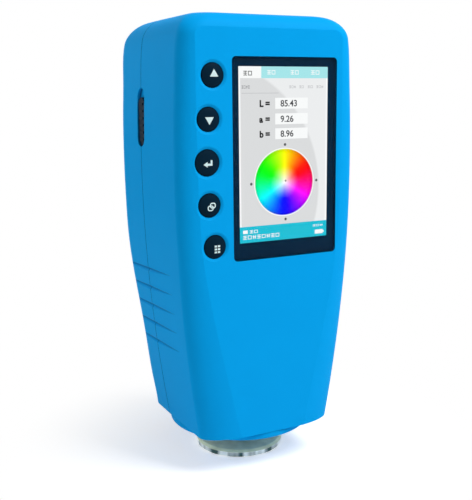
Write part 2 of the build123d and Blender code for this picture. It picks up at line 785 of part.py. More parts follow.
with BuildPart() as board_screws:
    for x, z in main_posts:
        add(small_screw((x, main_back_y, z), (0, -1, 0), screw_length))
board_screws.part.label = "board_screws"
export_step(board_screws.part, "parts/board_screws.step")

# Chips on the back of the main board
with BuildPart() as board_chips:
    for x, z, width, height in (processor, memory, converter, charger):
        low = (x - width / 2, main_back_y, z - width / 2)
        add(block(low, (x + width / 2, main_back_y + height, z + width / 2)))
board_chips.part.label = "board_chips"
export_step(board_chips.part, "parts/board_chips.step")

# Header between the keypad board and the main board
with BuildPart() as board_header:
    header_z = (main_top + main_bottom) / 2
    low = (keypad_x - 2.5, keypad_y + board_thickness, header_z - 9)
    add(block(low, (keypad_x + 2.5, main_y, header_z + 9)))
board_header.part.label = "board_header"
export_step(board_header.part, "parts/board_header.step")

with BuildPart() as buzzer:
    buzzer_top = main_back_y + buzzer_height
    add(rod_y(buzzer_x, buzzer_z, main_back_y, buzzer_top, buzzer_radius))
    fillet(buzzer.edges().group_by(Axis.Y)[-1], 0.6)
    add(rod_y(buzzer_x, buzzer_z, buzzer_top - 2.0, buzzer_top + 0.5, 1.0), mode=Mode.SUBTRACT)
buzzer.part.label = "buzzer"
export_step(buzzer.part, "parts/buzzer.step")

# Coin cell that keeps the clock
with BuildPart() as clock_cell:
    clock_cell_top = main_back_y + clock_cell_height
    add(rod_y(clock_cell_x, clock_cell_z, main_back_y, clock_cell_top, clock_cell_radius))
    fillet(clock_cell.edges().group_by(Axis.Y)[-1], 0.5)
clock_cell.part.label = "clock_cell"
export_step(clock_cell.part, "parts/clock_cell.step")

# Flat cable from the display's lower edge to a socket on the main board's front
ribbon_low_z = glass_z - bracket_half_z - 2.0
ribbon_y = lcd_back - 1.2
with BuildPart() as lcd_ribbon:
    with BuildLine() as ribbon_path:
        FilletPolyline(
            (glass_x, ribbon_y, glass_z - lcd_height / 2),
            (glass_x, ribbon_y, ribbon_low_z),
            (glass_x, main_y - 2.4, ribbon_low_z),
            (glass_x, main_y - 2.4, ribbon_low_z + 4.0),
            radius=1.2,
        )
    with BuildSketch(Plane.XY.offset(glass_z - lcd_height / 2)):
        with Locations((glass_x, ribbon_y)):
            Rectangle(18.0, 0.3)
    sweep(path=ribbon_path.wires()[0])
    socket_low = (glass_x - 11, main_y - 3.6, ribbon_low_z + 4.0)
    add(block(socket_low, (glass_x + 11, main_y, ribbon_low_z + 7.0)))
lcd_ribbon.part.label = "lcd_ribbon"
export_step(lcd_ribbon.part, "parts/lcd_ribbon.step")



def side_board(face_x, inward, middle_z):
    """An upright board behind a side key, on two posts of the back shell."""
    low = (min(face_x, face_x + inward * board_thickness), parting_y - side_board_low)
    high = (max(face_x, face_x + inward * board_thickness), parting_y + side_board_high)
    with BuildPart() as board:
        add(block((*low, middle_z - side_post_offset - 3.0), (*high, middle_z + side_post_offset + 3.0)))
        for z in (middle_z - side_post_offset, middle_z + side_post_offset):
            add(rod_x(side_post_y, z, low[0] - 1, high[0] + 1, hole_radius), mode=Mode.SUBTRACT)
    return board.part


# Measuring key: a long smooth cap with a flange behind the wall and a stem to its switch
with BuildPart() as measure_key:
    cap_x = measure_wall + measure_proud
    with BuildSketch(Plane.YZ.offset(measure_flange_x)):
        with Locations((parting_y, measure_z)):
            SlotOverall(measure_length, measure_width, rotation=90)
    extrude(amount=cap_x - measure_flange_x)
    fillet(measure_key.edges().group_by(Axis.X)[-1], 0.8)
    with BuildSketch(Plane.YZ.offset(measure_flange_x)):
        with Locations((parting_y, measure_z)):
            RectangleRounded(measure_width + 4, measure_length + 4, 3.0)
    extrude(amount=-1.0)
    add(rod_x(parting_y, measure_z, measure_stem_x, measure_flange_x, measure_stem_radius))
measure_key.part.label = "measure_key"
export_step(measure_key.part, "parts/measure_key.step")

measure_board = side_board(measure_board_x, -1, measure_z)
measure_board.label = "measure_board"
export_step(measure_board, "parts/measure_board.step")

with BuildPart() as measure_switch:
    half = switch_size / 2
    body_x = measure_board_x + switch_height
    high = (body_x, parting_y + half, measure_z + half)
    add(block((measure_board_x, parting_y - half, measure_z - half), high))
    add(rod_x(parting_y, measure_z, body_x, measure_tip_x, plunger_radius))
measure_switch.part.label = "measure_switch"
export_step(measure_switch.part, "parts/measure_switch.step")

with BuildPart() as measure_screws:
    for z in measure_posts:
        place = (measure_board_x - board_thickness, side_post_y, z)
        add(small_screw(place, (1, 0, 0), short_screw))
measure_screws.part.label = "measure_screws"
export_step(measure_screws.part, "parts/measure_screws.step")

# Power slider: a ribbed cap in its pocket, a stem through the floor and a clip behind it
with BuildPart() as power_slider:
    cap_x = -slider_back_x - slider_thickness
    with BuildSketch(Plane.YZ.offset(cap_x)):
        with Locations((parting_y, slider_rest_z)):
            SlotOverall(slider_length, slider_width, rotation=90)
    extrude(amount=slider_thickness)
    fillet(power_slider.edges().group_by(Axis.X)[0], 0.3)
    for step in range(slider_ribs):
        rib_z = slider_rest_z + rib_pitch * (step - (slider_ribs - 1) / 2)
        for y in (parting_y - rib_half_width, parting_y + rib_half_width):
            add(rod_x(y, rib_z, cap_x - rib_height, cap_x + 0.5, 0.5))
        low = (cap_x - rib_height, parting_y - rib_half_width, rib_z - 0.5)
        add(block(low, (cap_x + 0.5, parting_y + rib_half_width, rib_z + 0.5)))
    low = (-slider_back_x, parting_y - stem_width / 2, slider_rest_z - stem_length / 2)
    add(block(low, (-clip_x, parting_y + stem_width / 2, slider_rest_z + stem_length / 2)))
    low = (-clip_x, parting_y - clip_width / 2, slider_rest_z - clip_length / 2)
    high = (-clip_x + clip_thickness, parting_y + clip_width / 2, slider_rest_z + clip_length / 2)
    add(block(low, high))
power_slider.part.label = "power_slider"
export_step(power_slider.part, "parts/power_slider.step")

with BuildPart() as power_switch:
    half_z = (clip_length + slider_travel) / 2
    low = (-power_body_x, parting_y - switch_body_width / 2, slider_z - half_z)
    high = (-power_board_x, parting_y + switch_body_width / 2, slider_z + half_z)
    add(block(low, high))
    chamfer(power_switch.edges().group_by(Axis.X)[0], 0.3)
power_switch.part.label = "power_switch"
export_step(power_switch.part, "parts/power_switch.step")

power_board = side_board(-power_board_x, 1, slider_z)
power_board.label = "power_board"
export_step(power_board, "parts/power_board.step")

with BuildPart() as power_screws:
    for z in power_posts:
        place = (-power_board_x + board_thickness, side_post_y, z)
        add(small_screw(place, (-1, 0, 0), short_screw))
power_screws.part.label = "power_screws"
export_step(power_screws.part, "parts/power_screws.step")

# Charging and data port: a metal sleeve with its tongue, flush in the right side
plate_low = (usb_face_x - wall - 1.0, usb_y - 5.0, usb_z - 6.0)
plate_high = (usb_face_x - wall - 0.3, usb_y + 5.0, usb_z + 6.0)
core_y = usb_height / 2 - 0.2
core_z = usb_width / 2 - 0.2
core_low = (plate_low[0] - 1, usb_y - core_y, usb_z - core_z)
core_high = (plate_high[0] + 1, usb_y + core_y, usb_z + core_z)
with BuildPart() as port_plate:
    add(block(plate_low, plate_high))
    add(block(core_low, core_high), mode=Mode.SUBTRACT)
with BuildPart() as usb_port:
    with BuildSketch(Plane.YZ.offset(usb_face_x - 0.3)):
        with Locations((usb_y, usb_z)):
            RectangleRounded(usb_height, usb_width, 0.7)
    extrude(amount=-usb_length)
    with BuildSketch(Plane.YZ.offset(usb_face_x - 0.3)):
        with Locations((usb_y, usb_z)):
            RectangleRounded(usb_height - 2 * usb_wall, usb_width - 2 * usb_wall, 0.4)
    extrude(amount=-(usb_length - 1.0), mode=Mode.SUBTRACT)
    tongue_low = (usb_face_x - usb_length, usb_y - 0.6, usb_z - 2.2)
    add(block(tongue_low, (usb_face_x - 1.8, usb_y + 0.6, usb_z + 2.2)))
    add(port_plate.part)
usb_port.part.label = "usb_port"
export_step(usb_port.part, "parts/usb_port.step")

# Measuring ring: bright foot with the measuring opening
with BuildPart() as measuring_ring:
    add(turned(Plane.XZ, [
        (aperture_radius, 0.0),
        (ring_radius - 0.4, 0.0),
        (ring_radius, 0.4),
        (ring_radius, ring_rim),
        (ring_radius - 1.2, ring_rim + 0.9),
        (neck_radius + 1.2, ring_top),
        (spigot_radius + thread_gap, ring_top),
        (spigot_radius + thread_gap, ring_top - spigot_depth - 0.1),
        (neck_bore, ring_top - spigot_depth - 0.1),
        (aperture_radius, aperture_length),
    ]))
measuring_ring.part.label = "measuring_ring"
export_step(measuring_ring.part, "parts/measuring_ring.step")

# Neck: dark tube with a spigot in the ring and a flange on the case's floor
with BuildPart() as neck_tube:
    add(turned(Plane.XZ, [
        (neck_bore, ring_top - spigot_depth),
        (spigot_radius, ring_top - spigot_depth),
        (spigot_radius, ring_top),
        (neck_radius, ring_top),
        (neck_radius, inner_floor),
        (neck_flange_radius, inner_floor),
        (neck_flange_radius, inner_floor + neck_flange_height),
        (neck_bore, inner_floor + neck_flange_height),
    ]))
    flange_top = inner_floor + neck_flange_height
    for x, y in neck_screw_places:
        add(rod_z(x, y, inner_floor - 1, flange_top + 1, hole_radius), mode=Mode.SUBTRACT)
neck_tube.part.label = "neck_tube"
export_step(neck_tube.part, "parts/neck_tube.step")

with BuildPart() as neck_screws:
    for x, y in neck_screw_places:
        add(small_screw((x, y, flange_top), (0, 0, -1), screw_length))
neck_screws.part.label = "neck_screws"
export_step(neck_screws.part, "parts/neck_screws.step")

# Hollow sphere in two halves: the sample port below, the sensor's port above
flange_outer = sphere_outer + sphere_flange
sphere_screw_places = on_circle(3, sphere_outer + sphere_flange / 2, sphere_screw_turn)


def sphere_point(radius, angle):
    """A point on a sphere round the sphere's centre, by its angle from the equator in degrees."""
    return (radius * cos(radians(angle)), sphere_z + radius * sin(radians(angle)))


base_radius = neck_flange_radius - 4.0
with BuildPart() as sphere_lower:
    with BuildSketch(Plane.XZ):
        with BuildLine():
            port_angle = -degrees(acos(sphere_port / sphere_bore))
            base_angle = -degrees(acos(base_radius / sphere_outer))
            brim_angle = -degrees(asin(sphere_flange_height / sphere_outer))
            inside = ThreePointArc(
                sphere_point(sphere_bore, port_angle),
                sphere_point(sphere_bore, port_angle / 2),
                sphere_point(sphere_bore, 0),
            )
            outside = ThreePointArc(
                sphere_point(sphere_outer, base_angle),
                sphere_point(sphere_outer, (base_angle + brim_angle) / 2),
                sphere_point(sphere_outer, brim_angle),
            )
            brim_low = (flange_outer, sphere_z - sphere_flange_height)
            Polyline(inside @ 1, (flange_outer, sphere_z), brim_low, outside @ 1)
            Polyline(outside @ 0, (base_radius, sphere_base), (sphere_port, sphere_base), inside @ 0)
        make_face()
    revolve(axis=Axis.Z)
    flange_low = sphere_z - sphere_flange_height
    taps = [rod_z(x, y, flange_low - 1, sphere_z + 1, tap_radius) for x, y in sphere_screw_places]
    add(taps, mode=Mode.SUBTRACT)
sphere_lower.part.label = "sphere_lower"
export_step(sphere_lower.part, "parts/sphere_lower.step")

sensor_plane = Plane(origin=(0, 0, sphere_z), z_dir=(sin(radians(sensor_tilt)), 0, cos(radians(sensor_tilt))))
lamp_planes = []
for step in range(lamp_count):
    turn = radians(90 + 360 * step / lamp_count)
    lean = radians(lamp_angle)
    aim = (sin(lean) * cos(turn), sin(lean) * sin(turn), cos(lean))
    lamp_planes.append(Plane(origin=(0, 0, sphere_z), z_dir=aim))


def bar_along(plane, low, high, radius):
    """A round bar along a plane's normal, between two distances from its origin."""
    with BuildPart() as piece:
        with BuildSketch(plane.offset(low)):
            Circle(radius)
        extrude(amount=high - low)
    return piece.part


collar_seat = sphere_outer + 2.0
with BuildPart() as inner_ball:
    with Locations((0, 0, sphere_z)):
        Sphere(sphere_bore)
with BuildPart() as sphere_upper:
    with BuildSketch(Plane.XZ):
        with BuildLine():
            equator = (sphere_outer, sphere_z)
            top = (0, sphere_z + sphere_outer)
            ThreePointArc(top, sphere_point(sphere_outer, 45), equator)
            Polyline(equator, (0, sphere_z), top)
        make_face()
    revolve(axis=Axis.Z)
    brim_top = sphere_z + sphere_flange_height
    add(rod_z(0, 0, sphere_z, brim_top, flange_outer))
    add(bar_along(sensor_plane, sphere_bore, collar_seat, sensor_tube_radius + 2.0))
    tube_hole = bar_along(sensor_plane, 5.0, collar_seat + 1, sensor_tube_radius + thread_gap)
    add([inner_ball.part, tube_hole], mode=Mode.SUBTRACT)
    for plane in lamp_planes:
        lamp_hole = bar_along(plane, sphere_bore - 2, sphere_outer + 2, lamp_radius + thread_gap)
        add(lamp_hole, mode=Mode.SUBTRACT)
    for x, y in sphere_screw_places:
        add(rod_z(x, y, sphere_z - 1, brim_top + 1, hole_radius), mode=Mode.SUBTRACT)
sphere_upper.part.label = "sphere_upper"
export_step(sphere_upper.part, "parts/sphere_upper.step")

with BuildPart() as sphere_screws:
    for x, y in sphere_screw_places:
        add(small_screw((x, y, brim_top), (0, 0, -1), 3.8))
sphere_screws.part.label = "sphere_screws"
export_step(sphere_screws.part, "parts/sphere_screws.step")

# Lamps in the upper half, each on its own rim
with BuildPart() as lamps:
    for plane in lamp_planes:
        add(bar_along(plane, sphere_bore + 0.2, sphere_outer + 2.0, lamp_radius))
        add(bar_along(plane, sphere_outer + 0.3, sphere_outer + 1.0, lamp_radius + 0.7))
lamps.part.label = "lamps"
export_step(lamps.part, "parts/lamps.step")

# Sensor tube, leaning by the viewing angle, with its lens, board and chip
with BuildPart() as sensor_tube:
    add(bar_along(sensor_plane, sphere_bore + 0.3, sensor_reach, sensor_tube_radius))
    add(bar_along(sensor_plane, collar_seat, collar_seat + 1.5, sensor_tube_radius + 2.0))
    add(bar_along(sensor_plane, sensor_reach - 1.5, sensor_reach, sensor_tube_radius + 3.0))
    stop_bore = bar_along(sensor_plane, sphere_bore - 1, sensor_reach + 1, sensor_tube_bore - 0.6)
    lens_bore = bar_along(sensor_plane, sphere_bore + 4.0, sensor_reach + 1, sensor_tube_bore)
    add([stop_bore, lens_bore], mode=Mode.SUBTRACT)
sensor_tube.part.label = "sensor_tube"
export_step(sensor_tube.part, "parts/sensor_tube.step")

with BuildPart() as sensor_lens:
    add(bar_along(sensor_plane, sphere_bore + 4.0, sphere_bore + 6.0, sensor_tube_bore - thread_gap))
    chamfer(sensor_lens.edges().filter_by(GeomType.CIRCLE), 0.5)
sensor_lens.part.label = "sensor_lens"
export_step(sensor_lens.part, "parts/sensor_lens.step")

with BuildPart() as sensor_board:
    with BuildSketch(sensor_plane.offset(sensor_reach)):
        RectangleRounded(17.0, 17.0, 1.5)
    extrude(amount=board_thickness)
sensor_board.part.label = "sensor_board"
export_step(sensor_board.part, "parts/sensor_board.step")

with BuildPart() as sensor_chip:
    with BuildSketch(sensor_plane.offset(sensor_reach)):
        Rectangle(4.4, 4.4)
    extrude(amount=-1.0)
sensor_chip.part.label = "sensor_chip"
export_step(sensor_chip.part, "parts/sensor_chip.step")

# Case screws from the back into brass inserts in the front shell
with BuildPart() as case_screws:
    shank = case_floor + seam + insert_length
    for x, z in case_screws_at:
        place = (x, screw_seat_y, z)
        add(screw(place, (0, -1, 0), case_screw_radius, shank, case_head_radius, case_head_height))
case_screws.part.label = "case_screws"
export_step(case_screws.part, "parts/case_screws.step")

with BuildPart() as screw_inserts:
    for x, z in case_screws_at:
        add(rod_y(x, z, front_edge_y - insert_length, front_edge_y, insert_radius))
    for x, z in case_screws_at:
        add(rod_y(x, z, face_y, front_edge_y + 1, case_screw_radius + 0.03), mode=Mode.SUBTRACT)
screw_inserts.part.label = "screw_inserts"
export_step(screw_inserts.part, "parts/screw_inserts.step")
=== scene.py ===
# %% [markdown]
# # A hand-held colorimeter on its measuring ring
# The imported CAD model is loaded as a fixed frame. It already holds every hard piece at its real
# size, so this lesson adds what only a render needs: the finishes, the printed key legends, the
# black border under the cover glass and the lit picture on the display.

# %% Load the frame
import json

import bpy
import numpy as np
from mathutils import Matrix, Vector


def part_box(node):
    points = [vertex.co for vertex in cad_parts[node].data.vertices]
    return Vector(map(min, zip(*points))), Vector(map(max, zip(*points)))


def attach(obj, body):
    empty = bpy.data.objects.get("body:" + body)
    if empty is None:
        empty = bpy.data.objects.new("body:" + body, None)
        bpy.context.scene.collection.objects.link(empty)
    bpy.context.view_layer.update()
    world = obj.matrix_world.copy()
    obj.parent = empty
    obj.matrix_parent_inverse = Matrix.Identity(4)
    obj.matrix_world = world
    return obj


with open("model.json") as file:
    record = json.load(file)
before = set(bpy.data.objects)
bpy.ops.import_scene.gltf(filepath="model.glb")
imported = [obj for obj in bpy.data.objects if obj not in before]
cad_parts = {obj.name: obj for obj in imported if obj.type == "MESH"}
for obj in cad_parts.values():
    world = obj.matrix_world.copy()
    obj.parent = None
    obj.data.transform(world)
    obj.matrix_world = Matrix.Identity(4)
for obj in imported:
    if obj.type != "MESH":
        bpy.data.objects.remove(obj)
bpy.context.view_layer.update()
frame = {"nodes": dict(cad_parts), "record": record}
nodes = frame["nodes"]
mm = 0.001

# %% [markdown]
# ## Colours and nodes
# A colour picked from a screen is sRGB, but a renderer adds up light, so every hex value goes
# through one function that turns it linear. One more function adds a node with its settings and
# its sockets; a socket given as a value is linked, anything else is written into the socket.


# %% Two small helpers
def linear(hex_value):
    """Each channel c of an sRGB hex value becomes c / 12.92 when dark, else ((c + 0.055) / 1.055) ** 2.4."""
    channels = np.array([int(hex_value[i : i + 2], 16) / 255 for i in (1, 3, 5)])
    dark = channels / 12.92
    bright = ((channels + 0.055) / 1.055) ** 2.4
    return (*np.where(channels <= 0.04045, dark, bright), 1.0)


def add_node(tree, kind, settings=None, sockets=None):
    """Adds one node, sets its properties, and fills or links its sockets."""
    node = tree.nodes.new(kind)
    for name, value in (settings or {}).items():
        setattr(node, name, value)
    for key, value in (sockets or {}).items():
        if isinstance(value, bpy.types.NodeSocket):
            tree.links.new(value, node.inputs[key])
        else:
            node.inputs[key].default_value = value
    return node


print("mid blue, linear:", [round(v, 3) for v in linear("#0AA0E6")])

# %% [markdown]
# ## The camera
# A photograph is matched by finding where the camera stood: the lens, the distance and the angles
# below were fitted to the corners of the glass and of the lit picture, the five keys, the foot ring
# and the outline. A slight roll and a slight shift are left from the crop. The camera looks along
# its own -Z axis, so its rotation is built from the three directions right, up and backwards.

# %% Camera at the photograph's angle
image_height = 500               # pixels, the taller side of the photograph
focal_pixels = 806.43
sensor = 36.0                    # mm along the taller side
camera_azimuth = np.radians(-26.51)
camera_elevation = np.radians(10.31)
camera_roll = np.radians(-0.60)
camera_distance = 391.09 * mm
camera_target = np.array([0.0, 0.0, 100.0]) * mm
shift_pixels = (-1.27, -5.17)

back = np.array(
    [
        np.sin(camera_azimuth) * np.cos(camera_elevation),
        -np.cos(camera_azimuth) * np.cos(camera_elevation),
        np.sin(camera_elevation),
    ]
)
level_right = np.array([np.cos(camera_azimuth), np.sin(camera_azimuth), 0.0])
level_up = np.cross(back, level_right)
right = np.cos(camera_roll) * level_right + np.sin(camera_roll) * level_up
up = np.cos(camera_roll) * level_up - np.sin(camera_roll) * level_right

camera_data = bpy.data.cameras.new("camera")
camera_data.sensor_width = sensor
camera_data.lens = focal_pixels / image_height * sensor
camera_data.shift_x = shift_pixels[0] / image_height
camera_data.shift_y = shift_pixels[1] / image_height
camera_data.clip_start = 0.01
camera = bpy.data.objects.new("camera", camera_data)
place = np.eye(4)
place[:3, :3] = np.column_stack([right, up, back])
place[:3, 3] = camera_target + back * camera_distance
camera.matrix_world = Matrix(place.tolist())
bpy.context.collection.objects.link(camera)
bpy.context.scene.camera = camera
print("lens", round(camera_data.lens, 2), "mm, camera at", (place[:3, 3] / mm).round(1), "mm")

# %% [markdown]
# ## Mesh surfaces from whole arrays
# Every added piece is a surface: a grid of points in two parameters. The faces of such a grid are
# always the same four neighbours, so one function lists them, and another puts points and faces
# into a mesh. Points are in millimetres until that last step.


# %% Grids and meshes
def grid_faces(rows, columns, closed=False):
    """Quads between neighbours in a grid of rows by columns; closed joins the last column to the first."""
    row = np.arange(rows - 1)[:, None]
    column = np.arange(columns if closed else columns - 1)[None, :]
    after = (column + 1) % columns
    corners = (
        row * columns + column,
        row * columns + after,
        (row + 1) * columns + after,
        (row + 1) * columns + column,
    )
    return np.stack(np.broadcast_arrays(*corners), axis=-1).reshape(-1, 4)


def put_mesh(name, points, faces, material, body="case"):
    """A mesh that rides on a body and wears one material; points in millimetres, faces an array or a list."""
    mesh = bpy.data.meshes.new(name)
    rows = faces.tolist() if isinstance(faces, np.ndarray) else faces
    mesh.from_pydata((np.asarray(points) * mm).tolist(), [], rows)
    mesh.update()
    mesh.materials.append(material)
    piece = bpy.data.objects.new(name, mesh)
    bpy.context.collection.objects.link(piece)
    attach(piece, body)
    return piece


def make_thick(piece, thickness):
    """Gives a film a wall, grown outwards from its face, so that it is closed."""
    wall = piece.modifiers.new("film", "SOLIDIFY")
    wall.thickness = thickness * mm
    wall.offset = 1.0


def new_material(name, **shader_values):
    """An empty material with a shader: returns the material, its tree, its shader and Object coordinates."""
    material = bpy.data.materials.new(name)
    material.use_nodes = True
    tree = material.node_tree
    tree.nodes.clear()
    values = {key.replace("_", " "): value for key, value in shader_values.items()}
    shader = add_node(tree, "ShaderNodeBsdfPrincipled", sockets=values)
    add_node(tree, "ShaderNodeOutputMaterial", sockets={"Surface": shader.outputs[0]})
    place = add_node(tree, "ShaderNodeTexCoord").outputs["Object"]
    return material, tree, shader, place


print("faces of a 3 by 4 grid:", len(grid_faces(3, 4)))

# %% [markdown]
# ## Moulded plastic
# The case is ABS from a spark-eroded mould, which leaves a fine even grain. The eye sees it as a
# soft sheen with no sharp reflection. The real grain is about 0.1 mm, finer than a pixel of this
# picture, so it is drawn several times as coarse, and kept shallow. A slow, weak cloud in the
# colour stands for the uneven flow of the resin. The same recipe with other numbers gives every
# other moulding in the part. A second function paints shade into the colour where walls stand
# close together, in the grip grooves and round the keys: it darkens the colour where little of
# the sky is open.


# %% One recipe for moulded plastics
def scale_of(size_mm):
    """Texture scale at which one cell of a pattern is size_mm wide, because Object coordinates are metres."""
    return 1.0 / (size_mm * mm)


sheen_spread = 0.06              # roughness changes by this much either way over the grain


def moulded(name, colour, flow_colour, roughness, grain_mm, grain_depth_mm, flow_mm=14.0, specular=0.5):
    """Resin whose colour drifts slowly between two values, with a fine eroded grain as bump."""
    material, tree, shader, place = new_material(name, Specular_IOR_Level=specular)
    flow = add_node(
        tree, "ShaderNodeTexNoise", sockets={"Vector": place, "Scale": scale_of(flow_mm), "Detail": 2.0}
    )
    tint = add_node(
        tree,
        "ShaderNodeMix",
        {"data_type": "RGBA"},
        {"Factor": flow.outputs["Fac"], 6: linear(colour), 7: linear(flow_colour)},
    )
    grain = add_node(
        tree, "ShaderNodeTexNoise", sockets={"Vector": place, "Scale": scale_of(grain_mm), "Detail": 3.0}
    )
    sheen = add_node(
        tree,
        "ShaderNodeMapRange",
        sockets={
            "Value": grain.outputs["Fac"],
            "To Min": roughness - sheen_spread,
            "To Max": roughness + sheen_spread,
        },
    )
    bump = add_node(
        tree,
        "ShaderNodeBump",
        sockets={"Height": grain.outputs["Fac"], "Distance": grain_depth_mm * mm, "Strength": 0.6},
    )
    tree.links.new(tint.outputs[2], shader.inputs["Base Color"])
    tree.links.new(sheen.outputs["Result"], shader.inputs["Roughness"])
    tree.links.new(bump.outputs["Normal"], shader.inputs["Normal"])
    return material


shaded_share, unshaded_share = 0.45, 0.95    # shares of open sky at which a spot gets the full painted shade, or none


def paint_crevice_shade(material, shade_colour, reach_mm):
    """Painted shade: mixes shade_colour into the base colour where walls within reach_mm hide part of the
    sky.
    """
    tree = material.node_tree
    shader = tree.nodes["Principled BSDF"]
    unshaded_colour = shader.inputs["Base Color"].links[0].from_socket
    open_sky = add_node(
        tree, "ShaderNodeAmbientOcclusion", {"samples": 8}, {"Distance": reach_mm * mm}
    )
    unshaded_amount = add_node(
        tree,
        "ShaderNodeMapRange",
        sockets={"Value": open_sky.outputs["AO"], "From Min": shaded_share, "From Max": unshaded_share},
    )
    # painted shade: the darker colour takes over where ambient occlusion finds the sky closed
    mixed = add_node(
        tree,
        "ShaderNodeMix",
        {"data_type": "RGBA"},
        {"Factor": unshaded_amount.outputs["Result"], 6: linear(shade_colour), 7: unshaded_colour},
    )
    tree.links.new(mixed.outputs[2], shader.inputs["Base Color"])


case_abs = moulded("case_abs_eroded", "#06A7F3", "#07ABF7", 0.5, 0.55, 0.05, specular=0.015)
# painted shade: darker blue in the grip grooves, the parting line and round the keys
paint_crevice_shade(case_abs, "#045E96", 1.6)
key_abs = moulded("key_abs_satin", "#071F30", "#092638", 0.42, 0.5, 0.01, specular=0.025)
moulding_abs = moulded("black_abs_moulding", "#0B0B0C", "#121214", 0.5, 0.4, 0.03)
neck_abs = moulded("neck_abs_moulding", "#060708", "#0B0C0D", 0.45, 0.4, 0.03)
component_epoxy = moulded("component_epoxy", "#0C0C0D", "#17171A", 0.6, 0.25, 0.02, 3.0)
lamp_resin = moulded("lamp_epoxy_resin", "#F2EFD2", "#FFFDEB", 0.12, 0.6, 0.005, 2.0)
wrap_film = moulded("cell_shrink_wrap", "#2C7A4B", "#33875A", 0.3, 0.9, 0.01, 9.0)
sphere_paint = moulded("sphere_barium_coating", "#F1F1EE", "#F7F7F5", 0.95, 0.3, 0.02, 6.0)
print("outside mouldings", [m.name for m in (case_abs, key_abs, neck_abs)])

# %% [markdown]
# ## Turned, pressed and plated metal
# The foot ring is turned on a lathe: the tool leaves fine concentric lines on its top, which
# spread a highlight until the metal looks satin, while its rim is polished and plated. The lines
# follow the radius, so the pattern reads the distance from the ring's axis and nothing else. Real
# tool marks are about 0.1 mm apart and are drawn at 0.35 mm. The rim of the real ring mirrors
# light and dark things in its room. An empty studio has none of them, so broad upright patches
# of dark and light are painted into the plate's colour in their place: painted reflections. The
# top's pale, warm colour is partly the plate's own and partly painted light: it lifts a top that
# lies in the case's shade and cancels the blue the case throws down on it.


# %% Ring metal
polish_top = 2.3                 # mm: the rim is polished up to here
polish_edge = 0.2                # mm: half of the height over which polish gives way to turning
rim_roughness, top_roughness = 0.06, 0.9
rim_metallic, top_metallic = 1.0, 0.9
tool_mark, mark_depth = 0.35, 0.05   # mm
reflection_size = 6.0                 # mm
reflection_low, reflection_high = 0.42, 0.6    # noise values at which a painted reflection patch is full, or gone


def ring_metal():
    """Bright plate: polished below polish_top, and above it turned lines, a noise in the radius alone."""
    material, tree, shader, place = new_material("ring_turned_chrome", Metallic=1.0)
    axes = add_node(tree, "ShaderNodeSeparateXYZ", sockets={"Vector": place})
    flat = add_node(
        tree, "ShaderNodeCombineXYZ", sockets={"X": axes.outputs["X"], "Y": axes.outputs["Y"]}
    )
    radius = add_node(
        tree, "ShaderNodeVectorMath", {"operation": "LENGTH"}, {0: flat.outputs["Vector"]}
    )
    lines = add_node(
        tree,
        "ShaderNodeTexNoise",
        {"noise_dimensions": "1D"},
        {"W": radius.outputs["Value"], "Scale": scale_of(tool_mark), "Detail": 2.0},
    )
    upright = add_node(tree, "ShaderNodeMapping", sockets={"Vector": place, "Scale": (1.0, 1.0, 0.2)})
    cloud = add_node(
        tree,
        "ShaderNodeTexNoise",
        sockets={"Vector": upright.outputs["Vector"], "Scale": scale_of(reflection_size), "Detail": 1.5},
    )
    painted_reflections = add_node(
        tree,
        "ShaderNodeMapRange",
        sockets={"Value": cloud.outputs["Fac"], "From Min": reflection_low, "From Max": reflection_high},
    )
    turned = add_node(
        tree,
        "ShaderNodeMapRange",
        sockets={
            "Value": axes.outputs["Z"],
            "From Min": (polish_top - polish_edge) * mm,
            "From Max": (polish_top + polish_edge) * mm,
        },
    )
    # painted reflection: the polished rim's colour swings between dark and light patches in place of a
    # mirrored room
    rim = add_node(
        tree,
        "ShaderNodeMix",
        {"data_type": "RGBA"},
        {"Factor": painted_reflections.outputs["Result"], 6: linear("#3F5857"), 7: linear("#DCE4E1")},
    )
    # painted light: the turned top's pale, warm colour lifts a top in the case's shade and cancels the case's
    # blue
    top = add_node(
        tree,
        "ShaderNodeMix",
        {"data_type": "RGBA"},
        {"Factor": cloud.outputs["Fac"], 6: linear("#C4D2B8"), 7: linear("#FBFFEA")},
    )
    colour = add_node(
        tree,
        "ShaderNodeMix",
        {"data_type": "RGBA"},
        {"Factor": turned.outputs["Result"], 6: rim.outputs[2], 7: top.outputs[2]},
    )
    rough = add_node(
        tree,
        "ShaderNodeMapRange",
        sockets={"Value": turned.outputs["Result"], "To Min": rim_roughness, "To Max": top_roughness},
    )
    depth = add_node(
        tree,
        "ShaderNodeMath",
        {"operation": "MULTIPLY"},
        {0: lines.outputs["Fac"], 1: turned.outputs["Result"]},
    )
    bump = add_node(
        tree,
        "ShaderNodeBump",
        sockets={"Height": depth.outputs[0], "Distance": mark_depth * mm, "Strength": 0.5},
    )
    plate = add_node(
        tree,
        "ShaderNodeMapRange",
        sockets={"Value": turned.outputs["Result"], "To Min": rim_metallic, "To Max": top_metallic},
    )
    tree.links.new(colour.outputs[2], shader.inputs["Base Color"])
    tree.links.new(rough.outputs["Result"], shader.inputs["Roughness"])
    tree.links.new(plate.outputs["Result"], shader.inputs["Metallic"])
    tree.links.new(bump.outputs["Normal"], shader.inputs["Normal"])
    return material


ring_chrome = ring_metal()

# %% [markdown]
# Screws, contacts and brackets are plated steel. Rolling and drawing leave faint long scratches,
# so a Mapping node stretches the noise along the direction of rolling.

# %% Plated metals
scratch_size = 0.3               # mm
scratch_spread = 0.08            # roughness changes by this much either way


